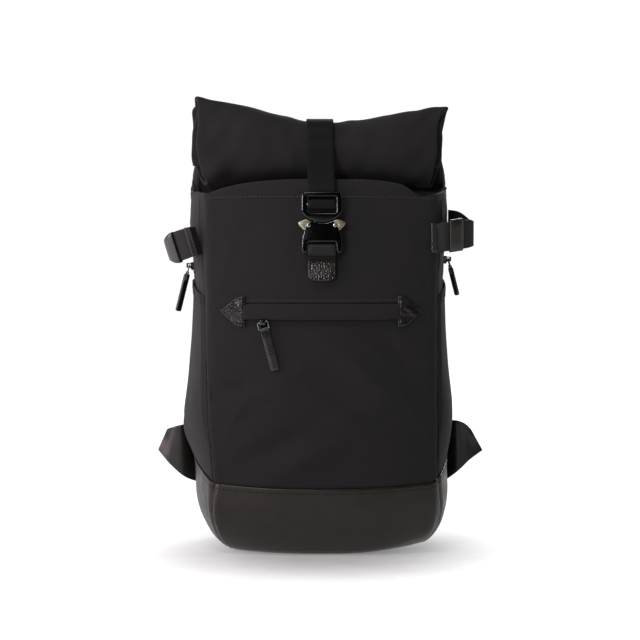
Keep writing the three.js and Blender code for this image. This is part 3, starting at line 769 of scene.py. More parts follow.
class Shader(Wiring):
    """A material while it is wired."""

    usual_noise = (0.36, 0.64)

    def __init__(self, name: str) -> None:
        """Start a material.

        Args:
            name: Its name.
        """
        self.material = bpy.data.materials.new(name)
        self.material.use_nodes = True
        super().__init__(self.material.node_tree)
        self.surface = self.tree.nodes["Principled BSDF"]

    def places(self, output: str) -> Socket:
        """Texture coordinates of one kind."""
        return self.add("ShaderNodeTexCoord", {}).outputs[output]

    def noise(self, size: float, detail: float, output: str = "Object") -> Socket:
        """Uneven values, with patches of about a size in millimetres."""
        inputs = {"Vector": self.places(output), "Scale": 1 / (size * MM), "Detail": detail}
        return self.add("ShaderNodeTexNoise", inputs).outputs[0]

    def between(self, share: Socket, low: object, high: object) -> Socket:
        """A colour or number that runs from low to high with uneven values.

        Args:
            share: The uneven values.
            low: Colour or number at their low end.
            high: The same at their high end.

        Returns:
            The colour or number.
        """
        if not isinstance(low, tuple):
            return self.mapped(share, self.usual_noise, (low, high))
        ramp_node = self.add("ShaderNodeValToRGB", {0: share})
        for element, colour, place in zip(ramp_node.color_ramp.elements, (low, high), self.usual_noise):
            element.color = (*colour, 1)
            element.position = place
        return ramp_node.outputs[0]

    def relief(
        self, height: Socket, depth: float, strength: float, under: object = None
    ) -> Socket:
        """A bump.

        Args:
            height: The height to show.
            depth: Its depth in millimetres.
            strength: How strongly it shows.
            under: A bump that it lies over, if any.

        Returns:
            The bumped normal.
        """
        inputs = {"Height": height, "Distance": depth * MM, "Strength": strength}
        if under is not None:
            inputs["Normal"] = under
        return self.add("ShaderNodeBump", inputs).outputs[0]


@dataclass(frozen=True)
class Finish:
    """A finish, which makes its material when it is first asked for."""

    name: str
    colour: Colour
    shade: Colour
    roughness: float

    def material(self) -> bpy.types.Material:
        """Find the finish's material, or make it.

        Returns:
            The material.
        """
        known = bpy.data.materials.get(self.name)
        if known:
            return known
        shader = Shader(self.name)
        self.wire(shader)
        return shader.material

    def wire(self, shader: Shader) -> None:
        """Wire the finish's shader."""
        raise NotImplementedError


class Weave(Enum):
    """How threads cross: the share of warp bands, weft bands and slanted bands."""

    PLAIN = (1.0, 1.0, 0.0)
    TWILL = (0.5, 0.25, 1.0)
    RIBBED = (0.25, 1.0, 0.0)


@dataclass(frozen=True)
class Woven(Finish):
    """Threads woven along the piece's flat cut."""

    weave: Weave = Weave.PLAIN
    pitch: float = 0.9
    depth: float = 0.1
    sheen: float = 0.2
    gloss: float = 0.3

    def wire(self, shader: Shader) -> None:
        """Weave bands of thread, with a little melange and soft worn patches.

        Args:
            shader: The material to wire.
        """
        wave_cycle = 0.3142
        flat = shader.places("UV")
        band_scale = wave_cycle / (self.pitch * MM)
        total: Socket | None = None
        for share, direction in zip(self.weave.value, ("X", "Y", "DIAGONAL")):
            if not share:
                continue
            inputs = {"Vector": flat, "Scale": band_scale, "Distortion": 0.8, "Detail": 1, "Detail Scale": 2}
            bands = shader.add("ShaderNodeTexWave", inputs, bands_direction=direction).outputs[1]
            scaled = shader.add("ShaderNodeMath", {0: bands, 1: share}, operation="MULTIPLY").outputs[0]
            if total is not None:
                scaled = shader.add("ShaderNodeMath", {0: total, 1: scaled}, operation="ADD").outputs[0]
            total = scaled
        patches = shader.relief(shader.noise(9, 3), 0.25, 0.35)
        melange = shader.noise(1.6, 4)
        shader.feed(
            shader.surface,
            {
                "Base Color": shader.between(melange, self.shade, self.colour),
                "Roughness": self.roughness,
                "Specular IOR Level": self.gloss,
                "Sheen Weight": self.sheen,
                "Sheen Roughness": 0.45,
                "Normal": shader.relief(total, self.depth, 0.6, patches),
            },
        )


@dataclass(frozen=True)
class Leather(Finish):
    """Grained leather: pebbles, soft creases and uneven polish."""

    grain: float = 1.1
    depth: float = 0.12
    polish: float = 0.12
    gloss: float = 0.5
    crease: float = 0.35

    def wire(self, shader: Shader) -> None:
        """Grain the leather and vary its polish.

        Args:
            shader: The material to wire.
        """
        inputs = {"Vector": shader.places("Object"), "Scale": 1 / (self.grain * MM), "Randomness": 0.95}
        pebble = shader.add("ShaderNodeTexVoronoi", inputs, feature="SMOOTH_F1").outputs[0]
        creases = shader.relief(shader.noise(7, 5), self.crease, 0.4)
        patches = shader.noise(14, 4)
        rough = (self.roughness - self.polish, self.roughness + self.polish)
        shader.feed(
            shader.surface,
            {
                "Base Color": shader.between(patches, self.shade, self.colour),
                "Roughness": shader.between(patches, *rough),
                "Specular IOR Level": self.gloss,
                "Normal": shader.relief(pebble, -self.depth, 0.7, creases),
            },
        )


@dataclass(frozen=True)
class Metal(Finish):
    """Bare or coated metal with a faintly uneven polish."""

    gloss: float = 0.5
    uneven: Pair = (0.92, 1.1)

    def wire(self, shader: Shader) -> None:
        """Vary the polish over the metal.

        Args:
            shader: The material to wire.
        """
        patches = shader.noise(5, 5)
        low, high = self.uneven
        shader.feed(
            shader.surface,
            {
                "Base Color": shader.between(patches, self.shade, self.colour),
                "Roughness": shader.between(patches, self.roughness * low, self.roughness * high),
                "Metallic": 1.0,
                "Specular IOR Level": self.gloss,
            },
        )


CLOTH = Woven(
    "Cloth", (0.0158, 0.0139, 0.0149), (0.0124, 0.0111, 0.0118), 0.86,
    weave=Weave.TWILL, pitch=0.8, depth=0.07, sheen=0.05, gloss=0.25,
)
PADDING = Woven(
    "Padding_Cloth", (0.015, 0.0135, 0.0145), (0.010, 0.009, 0.010), 0.9, pitch=1.3, depth=0.16, sheen=0.15
)
WEBBING = Woven(
    "Webbing", (0.0040, 0.0040, 0.0041), (0.0030, 0.0030, 0.0031), 0.6,
    weave=Weave.RIBBED, pitch=1.1, depth=0.06, sheen=0.0, gloss=0.15,
)
STRAP_WEBBING = Woven(
    "Strap_Webbing", (0.0100, 0.0094, 0.0086), (0.0076, 0.0072, 0.0066), 0.5,
    weave=Weave.RIBBED, pitch=1.1, depth=0.05, sheen=0.02,
)
FOOT_LEATHER = Leather(
    "Foot_Leather", (0.0158, 0.0106, 0.0064), (0.0113, 0.0076, 0.0046), 0.36,
    grain=0.9, depth=0.05, polish=0.05, gloss=0.42,
)
TRIM_LEATHER = Leather(
    "Trim_Leather", (0.0125, 0.0105, 0.0093), (0.0080, 0.0068, 0.0062), 0.27,
    grain=1.7, depth=0.3, polish=0.05, gloss=0.44,
)
PATCH_LEATHER = Leather(
    "Patch_Leather", (0.0240, 0.0205, 0.0172), (0.0140, 0.0118, 0.0100), 0.25,
    grain=2.2, depth=0.9, polish=0.05, gloss=0.6,
)
PLAIN_LEATHER = Leather(
    "Strap_Leather", (0.024, 0.021, 0.0185), (0.018, 0.016, 0.0145), 0.27,
    grain=1.3, depth=0.05, polish=0.03, gloss=0.65, crease=0.1,
)
WING_LEATHER = Leather(
    "Wing_Leather", (0.0160, 0.0150, 0.0122), (0.0108, 0.0101, 0.0084), 0.33, grain=1.6, polish=0.05
)
BLACK_METAL = Metal("Black_Metal", (0.080, 0.080, 0.082), (0.068, 0.068, 0.070), 0.12)
BRONZE = Metal("Bronze", (0.56, 0.49, 0.38), (0.54, 0.47, 0.365), 0.34)
STEEL = Metal("Steel", (0.62, 0.61, 0.59), (0.50, 0.49, 0.47), 0.24)
DARK_STEEL = Metal("Dark_Steel", (0.30, 0.295, 0.285), (0.24, 0.235, 0.23), 0.26)
THREAD = Woven(
    "Thread", (0.060, 0.054, 0.056), (0.046, 0.042, 0.043), 0.6, weave=Weave.RIBBED, pitch=0.4, depth=0.03
)
DARK_THREAD = Woven(
    "Dark_Thread", (0.0016, 0.0014, 0.0014), (0.0010, 0.0009, 0.0009), 0.9,
    weave=Weave.RIBBED, pitch=0.4, depth=0.03, sheen=0.0, gloss=0.02,
)


# Sewing


@dataclass
class Sewing:
    """Stitches along lines, set out by Geometry Nodes and kept as plain meshes."""

    step: float = 4.0
    length: float = 2.4
    width: float = 0.75
    flatness: float = 0.8
    line_step: float = 2
    least: Triple = (0.92, 0.9, 0.9)
    most: Triple = (1.05, 1.1, 1.1)
    seed: int = 7

    def tree(self) -> bpy.types.GeometryNodeTree:
        """Find the node tree, or make it: lines in, a stitch at every step out.

        Returns:
            The tree.
        """
        known = bpy.data.node_groups.get("Stitches")
        if known:
            return known
        tree = bpy.data.node_groups.new("Stitches", "GeometryNodeTree")
        sockets = (("Lines", "Geometry"), ("Step", "Float"), ("Size", "Vector"), ("Thread", "Material"))
        for name, kind in sockets:
            tree.interface.new_socket(name, in_out="INPUT", socket_type=f"NodeSocket{kind}")
        tree.interface.new_socket("Stitches", in_out="OUTPUT", socket_type="NodeSocketGeometry")
        add = Wiring(tree).add
        given = add("NodeGroupInput", {}).outputs
        curve = add("GeometryNodeMeshToCurve", {"Mesh": given["Lines"]}).outputs[0]
        spaced = add("GeometryNodeResampleCurve", {"Curve": curve, "Length": given["Step"]}, mode="LENGTH")
        facing = add("GeometryNodeInputNamedAttribute", {"Name": "facing"}, data_type="FLOAT_VECTOR")
        tangent = add("GeometryNodeInputTangent", {}).outputs[0]
        along = add("FunctionNodeAlignRotationToVector", {"Vector": tangent}, axis="X").outputs[0]
        turned = {"Rotation": along, "Vector": facing.outputs[0]}
        upright = add("FunctionNodeAlignRotationToVector", turned, axis="Z", pivot_axis="X")
        bounds = {"Min": self.least, "Max": self.most, "Seed": self.seed}
        uneven = add("FunctionNodeRandomValue", bounds, data_type="FLOAT_VECTOR").outputs[0]
        size = add("ShaderNodeVectorMath", {0: given["Size"], 1: uneven}, operation="MULTIPLY")
        ball = add("GeometryNodeMeshUVSphere", {"Segments": 6, "Rings": 4, "Radius": 0.5})
        laid = add(
            "GeometryNodeInstanceOnPoints",
            {
                "Points": spaced.outputs[0],
                "Instance": ball.outputs["Mesh"],
                "Rotation": upright.outputs[0],
                "Scale": size.outputs[0],
            },
        )
        real = add("GeometryNodeRealizeInstances", {"Geometry": laid.outputs[0]})
        dressed = {"Geometry": real.outputs[0], "Material": given["Thread"]}
        add("NodeGroupOutput", {0: add("GeometryNodeSetMaterial", dressed).outputs[0]})
        return tree

    def sew(
        self, name: str, rows: Sequence[StitchRow], finish: Finish, slot: Slot,
        step: float = 0.0, bold: float = 1.0,
    ) -> Piece:
        """Sew along lines.

        Args:
            name: Name of the stitches.
            rows: The lines.
            finish: The thread.
            slot: The record's slot the thread goes by.
            step: Length from stitch to stitch, or 0 for the usual one.
            bold: How much thicker than usual the thread is.

        Returns:
            The stitches as one plain mesh.
        """
        step = step or self.step
        points, facing, edges = [], [], []
        for row in rows:
            spaced = even_line(row, self.line_step)
            start = sum(len(part) for part in points)
            points.append(spaced.points)
            facing.append(spaced.facing)
            edges += [(start + i, start + i + 1) for i in range(len(spaced.points) - 1)]
        lines = bpy.data.meshes.new(name)
        lines.from_pydata((np.concatenate(points) * MM).tolist(), edges, [])
        way = lines.attributes.new("facing", "FLOAT_VECTOR", "POINT")
        way.data.foreach_set("vector", np.concatenate(facing).ravel())
        holder = link(bpy.data.objects.new(name, lines))
        tree = self.tree()
        modifier = holder.modifiers.new("Stitches", "NODES")
        modifier.node_group = tree
        share = step / self.step
        height = self.width * self.flatness * bold
        values = {
            "Step": step * MM,
            "Size": (self.length * share * MM, self.width * bold * MM, height * MM),
            "Thread": finish.material(),
        }
        for item in tree.interface.items_tree:
            if item.in_out == "INPUT" and item.name in values:
                modifier[item.identifier] = values[item.name]
        holder.update_tag()
        evaluated = holder.evaluated_get(bpy.context.evaluated_depsgraph_get())
        mesh = bpy.data.meshes.new_from_object(evaluated)
        bpy.data.objects.remove(holder)
        bpy.data.meshes.remove(lines)
        flat = mesh.uv_layers.new(name="cut") if not mesh.uv_layers else mesh.uv_layers[0]
        flat.name = "cut"
        return fit(mesh_object(name, mesh, finish), slot)


# The bag's skin


@dataclass(frozen=True)
class BagSkin:
    """The outer skin of the bag: sections from the floor up, and the neck above them."""

    body: Table = Table(
        "z seam back y_front y_seam y_back corner",
        (
            (0, 121, 142.5, -92, -74, 80, 18.5),
            (62, 121, 142.5, -93, -75, 80, 18.5),
            (90, 121, 143, -94, -75, 80, 19),
            (140, 121.5, 150.5, -95, -75, 80, 26.5),
            (210, 122, 144.5, -93, -73, 80, 20.5),
            (275, 123, 140.5, -89, -70, 80, 16.5),
            (325, 124, 142, -84, -67, 80, 18),
            (362, 125, 146, -79, -64, 80, 22),
            (388, 125.5, 145, -74, -61, 80, 21),
        ),
    )
    neck: Table = Table(
        "at z_front z_back seam back y_front y_seam y_back corner sag dent",
        (
            (0, 388, 388, 125.5, 145, -74, -61, 80, 21, 0, 0),
            (1, 402, 397, 125, 145, -71, -58.5, 79, 19, 8, 0.5),
            (2, 410, 405, 124, 144.5, -62, -50, 74, 17, 16, 1),
            (3, 405, 410, 124, 144, -52, -43, 66, 15, 15, 1),
            (4, 398, 414, 125, 143.5, -42, -36, 57, 12, 10, 0.6),
            (5, 395, 420, 129, 142.5, 0, 0, 45, 9, 0, 0),
            (6, 404, 428, 133, 141, 15, 15, 34, 5, 0, 0),
            (7, 433, 435, 136, 138, 19.5, 19.5, 27.5, 3, 0, 0),
        ),
    )
    folds: tuple[Fold, ...] = (
        Fold(54, 193, -39, 58, 14, 5.0),
        Fold(70, 231, -35, 36, 12, -3.6),
        Fold(28, 168, -30, 40, 11, -2.6),
        Fold(-82, 185, 15, 36, 11, -3.4),
        Fold(-34, 200, 20, 42, 16, 3.0),
        Fold(-50, 120, 25, 42, 11, -3.4),
        Fold(-22, 104, 25, 40, 12, 3.0),
        Fold(88, 140, -16, 30, 8, -2.2),
    )
    top: float = 388
    front_power: float = 2.4
    sag_power: float = 3.2
    soften: tuple[float, ...] = (-0.024, -0.012, 0.0, 0.012, 0.024)
    seam_shift: tuple[Pair, Pair] = ((0.0, 0.15), (0.08, 0.13))
    side_share: float = 0.75
    side_pull: Triple = (0.75, 0.25, 0.6)
    foot_height: float = 62
    foot_drawn: tuple[float, float, float, float, float] = (29, 41, 24, 36, 16)
    boot_top: Triple = (73, 78, 110)
    boot_power: float = 0.8
    dents: tuple[Triple, ...] = ((110, 10, 13), (-131, 7, 14))
    corner_lift: Pair = (0.5, 7.0)
    corner_size: Triple = (95, 60, 40)
    lean_x: float = 4.8
    lean_z: Pair = (25, 150)
    right_end: float = 1.998
    left_end: float = 3.002

    def section(self, z: Array) -> dict[str, Array]:
        """The sections at heights, drawn in towards the floor.

        Args:
            z: The heights.

        Returns:
            Each size of the sections.
        """
        row = self.body.at(z)
        share = 1 - ramp(z, self.foot_height)
        drawn = 1 - np.sqrt(1 - share**2)
        seam, side, front, front_seam, back = self.foot_drawn
        none = np.zeros_like(drawn)
        return {
            "seam": row["seam"] - seam * drawn,
            "back": row["back"] - side * drawn,
            "y_front": row["y_front"] + front * drawn,
            "y_seam": row["y_seam"] + front_seam * drawn,
            "y_back": row["y_back"] - back * drawn,
            "corner": row["corner"],
            "z_front": z + none,
            "z_back": z + none,
            "sag": none,
            "dent": none,
        }

    def side(self, row: dict[str, Array], share: Array) -> tuple[Array, Array]:
        """One side from the front seam round the back corner.

        Args:
            row: Sizes of the section.
            share: Places from the seam, 0, to the end of the corner, 1.

        Returns:
            The places' x and y.
        """
        out, leave, enter = self.side_pull
        end = row["y_back"] - row["corner"]
        depth = end - row["y_seam"]
        t = ramp(share, self.side_share)
        weights = ((1 - t) ** 3, 3 * t * (1 - t) ** 2, 3 * t**2 * (1 - t), t**3)
        xs = (row["seam"], lerp(row["seam"], row["back"], out), row["back"], row["back"])
        ys = (row["y_seam"], row["y_seam"] + leave * depth, row["y_seam"] + enter * depth, end)
        turn = ramp(share - self.side_share, 1 - self.side_share) * np.pi / 2
        x = sum(w * x for w, x in zip(weights, xs)) + row["corner"] * (np.cos(turn) - 1)
        y = sum(w * y for w, y in zip(weights, ys)) + row["corner"] * np.sin(turn)
        return x, y

    def ring(self, row: dict[str, Array], around: Array) -> Array:
        """Points of a section, with its front corners softened."""
        return sum(self.sharp_ring(row, around + step) for step in self.soften) / len(self.soften)

    def sharp_ring(self, row: dict[str, Array], around: Array) -> Array:
        """Points of a section.

        Args:
            row: Sizes of the section.
            around: Places: 0-1 over the front, 1-2 right side, 2-3 back, 3-4 left side.

        Returns:
            The points.
        """
        turn = np.mod(around, 4.0)
        side = np.floor(turn)
        share = turn - side
        across = 2 * share - 1
        x = across * row["seam"]
        y = lerp(row["y_front"], row["y_seam"], np.abs(across) ** self.front_power)
        dip = sum(depth * bump(x - middle, width) for middle, width, depth in self.dents)
        z = row["z_front"] - row["sag"] * np.abs(across) ** self.sag_power - row["dent"] * dip
        front = np.stack([x, y, z], -1)
        half = row["back"] - row["corner"]
        none = np.zeros_like(turn)
        back = np.stack([half * (1 - 2 * share), row["y_back"] + none, row["z_back"] + none], -1)
        x, y = self.side(row, np.where(side == 1, share, 1 - share))
        deep = np.clip((y - row["y_seam"]) / (row["y_back"] - row["y_seam"]), 0, 1)
        z = lerp(row["z_front"] - row["sag"], row["z_back"], deep)
        flank = np.stack([np.where(side == 1, x, -x), y, z + none], -1)
        return np.where((side == 0)[..., None], front, np.where((side == 2)[..., None], back, flank))

    def lean(self, z: Array) -> Array:
        """How far the lower part leans to the right at a height."""
        low, high = self.lean_z
        return self.lean_x * ramp(high - z, high - low)

    def surface(self, around: Array, z: Array) -> Array:
        """Points of the skin, with its folds, lifted corners and lean.

        Args:
            around: Places around it.
            z: Heights.

        Returns:
            The points.
        """
        around, z = np.broadcast_arrays(np.asarray(around, float), np.clip(z, 0, self.top))
        place = self.ring(self.section(z), around)
        on_front = np.floor(np.mod(around, 4.0)) == 0
        rise = sum(fold.rise(place[..., 0], z) for fold in self.folds)
        place[..., 1] -= np.where(on_front, rise, 0)
        wide, deep, tall = self.corner_size
        outward = np.clip(np.abs(place[..., 0]) / wide, 0, 1.1) ** 3 * ramp(-place[..., 1], deep)
        lift = np.where(place[..., 0] < 0, *self.corner_lift) * outward
        place[..., 2] += lift * (1 - ramp(z, tall)) ** 2
        place[..., 0] += self.lean(z)
        return place

    def front(self, x: Array, z: Array) -> Array:
        """Points of the front at x and z."""
        x, z = np.broadcast_arrays(np.asarray(x, float), np.asarray(z, float))
        return self.surface((x / self.section(z)["seam"] + 1) / 2, z)

    def off_front(self, x: float, z: float, off: float) -> Array:
        """A point that stands off the front.

        Args:
            x: Its place across the front.
            z: Its height.
            off: How far it stands off.

        Returns:
            The point.
        """
        step = np.array([-1.0, 0.0, 1.0])
        patch = self.front(x + step[:, None], z + step[None, :])
        facing = np.cross(patch[2, 1] - patch[0, 1], patch[1, 2] - patch[1, 0])
        return patch[1, 1] + unit(facing) * off

    def neck_point(self, around: Array, at: Array) -> Array:
        """Points of the neck."""
        around, at = np.broadcast_arrays(np.asarray(around, float), np.asarray(at, float))
        return self.ring(self.neck.at(np.clip(at, 0, len(self.neck.rows) - 1)), around)

    def boot_line(self, around: Array) -> Array:
        """Height of the foot's upper edge.

        Args:
            around: Places around the skin.

        Returns:
            The height at each place.
        """
        middle, seam, back = self.boot_top
        around = np.mod(around, 4.0)
        side = np.floor(around)
        share = around - side
        flank = lerp(seam, back, np.where(side == 1, share, 1 - share) ** self.boot_power)
        return np.where(side == 0, lerp(middle, seam, (2 * share - 1) ** 2), flank)

    def seam(self, side: Side) -> Pair:
        """Places around the skin of a front seam's lower and upper end."""
        low, high = self.seam_shift[side is Side.RIGHT]
        return (1 + low, 1 + high) if side is Side.RIGHT else (-low, -high)

    def panel(
        self, ends: tuple[Sequence[float], Sequence[float]], low: Callable[[Array], Array], high: float,
        cells: tuple[int, int], faces: Pair, ease: float = 1.0,
    ) -> Sheet:
        """A panel of the skin.

        Args:
            ends: Places around the skin where it starts and ends, each at its foot and its top.
            low: Its lower edge's height at places around the skin.
            high: Its upper edge's height, or the most it reaches up to the foot's line if negative.
            cells: Cells across and along.
            faces: Offsets of its inner and outer face.
            ease: Above 1, rows are closer near the lower edge.

        Returns:
            The panel.
        """
        v = np.linspace(0, 1, cells[1] + 1)[None, :] ** ease
        around = lerp(lerp(*ends[0], v), lerp(*ends[1], v), np.linspace(0, 1, cells[0] + 1)[:, None])
        upper = self.boot_line(around) + high if high < 0 else np.full_like(around, high)
        return Sheet(self.surface(around, lerp(low(around), upper, v)), *faces)

    def on_front(
        self, x: Array, middle: float, half: Array, rows: int, faces: tuple[Array | float, Array | float]
    ) -> Sheet:
        """A flat piece on the front, from its columns' x, its middle height and its half heights."""
        v = np.linspace(-1, 1, rows + 1)[None, :]
        return Sheet(self.front(x[:, None], middle + v * np.broadcast_to(half, x.shape)[:, None]), *faces)


# Sub-assemblies


@dataclass
class Foot:
    """The leather foot: its base, its front and its two side pieces."""

    skin: BagSkin
    sewing: Sewing
    leather: float = 2.6
    proud: float = 0.7
    rise: float = 4
    seam: float = 0.25
    spread: float = 0.1
    front_width: float = 242
    turned_up: tuple[float, ...] = (0.25, 0.8, 1.6, 2.6)
    edge_relief: SeamRelief = SeamRelief(0.7, 7.5, 3.2, 1.5, 2.4)
    pucker: Pucker = Pucker(0.14, 4, 6, 1.7, Ripple(2, 40, 33))
    waves: tuple[Ripple, ...] = (Ripple(0.6, 70, 31), Ripple(0.16, 24, 32))
    calm_height: float = 22
    ridge_height: float = 12
    stitch_inset: float = 3.4

    def build(self) -> None:
        """Build the base, the walls and their stitches."""
        self.base()
        edge = self.seam / self.front_width
        left, right = self.skin.seam(Side.LEFT)[0], self.skin.seam(Side.RIGHT)[0]
        low_left, low_right = left - self.spread, right + self.spread
        walls = {
            "front": ((low_left + edge, left + edge), (low_right - edge, right - edge)),
            "side_right": ((low_right + edge, right + edge), (self.skin.right_end,) * 2),
            "side_left": ((self.skin.left_end,) * 2, (4 + low_left - edge, 4 + left - edge)),
        }
        for word, ends in walls.items():
            sheet = self.panel(ends)
            fitted(f"Boot_{word}", sheet.form(), FOOT_LEATHER, Slot.FOOT)
            self.stitch(word, sheet)

    def base(self) -> None:
        """The flat base, with its edge turned up."""
        columns, rings = 160, 14
        around = np.linspace(0, 4, columns, endpoint=False)[:, None]
        share = np.linspace(0, 1, rings)[None, :]
        ring = self.skin.surface(around, np.zeros((1, 1)))
        middle = ring.mean(axis=(0, 1))
        flat = middle + (ring - middle) * share[..., None]
        edge = self.skin.surface(around, np.array([[*self.turned_up, self.rise - self.seam]]))
        sheet = Sheet(np.concatenate([flat, edge], 1), -self.leather, 0.0, ring=True)
        fitted("Boot_base", sheet.form(FIRST_SQUARE), FOOT_LEATHER, Slot.FOOT)

    def low(self, around: Array) -> Array:
        """Height of the walls' lower edge."""
        return np.full_like(around, self.rise + self.seam)

    def panel(self, ends: tuple[Pair, Pair]) -> Sheet:
        """One wall of the foot, with the ridge of the seam inside it.

        Args:
            ends: Places around the skin where it starts and ends, each at its foot and its top.

        Returns:
            The wall.
        """
        in_front = ends[0][1] < 1
        cells = (110 if in_front else 80, 44)
        faces = (self.proud - self.leather, self.proud)
        sheet = self.skin.panel(ends, self.low, -self.seam, cells, faces, ease=1.5)
        x, y, z = np.moveaxis(sheet.grid, -1, 0)
        place = x if in_front else y
        from_edge = self.from_ends(sheet.grid)
        uneven = rippled(self.waves, place, z) + self.pucker.rise(from_edge, place, z)
        ridge = self.edge_relief.rise(from_edge) * ramp(z, self.ridge_height)
        return sheet.raised(uneven * ramp(z, self.calm_height) + ridge)

    @staticmethod
    def from_ends(grid: Array) -> Array:
        """Measure every point's distance to the nearer end of its row.

        Args:
            grid: The points.

        Returns:
            The distances.
        """
        steps = np.linalg.norm(np.diff(grid, axis=0), axis=-1)
        length = np.concatenate([np.zeros((1, grid.shape[1])), np.cumsum(steps, 0)])
        return np.minimum(length, length[-1] - length)

    def stitch(self, word: str, sheet: Sheet) -> None:
        """Sew the upper edge and, on the front, the seams down to the base.

        Args:
            word: Which wall it is.
            sheet: The wall.
        """
        width = np.linalg.norm(np.diff(sheet.grid[:, -10], axis=0), axis=1).sum()
        inset = self.stitch_inset / width
        rows = [sheet.line(np.linspace(0.004, 0.996, 160), 0.962)]
        if word == "front":
            v = np.linspace(0.42, 0.95, 60)
            rows += [sheet.line(inset, v), sheet.line(1 - inset, v)]
        self.sewing.sew(f"Stitches_boot_{word}", rows, DARK_THREAD, Slot.FOOT)


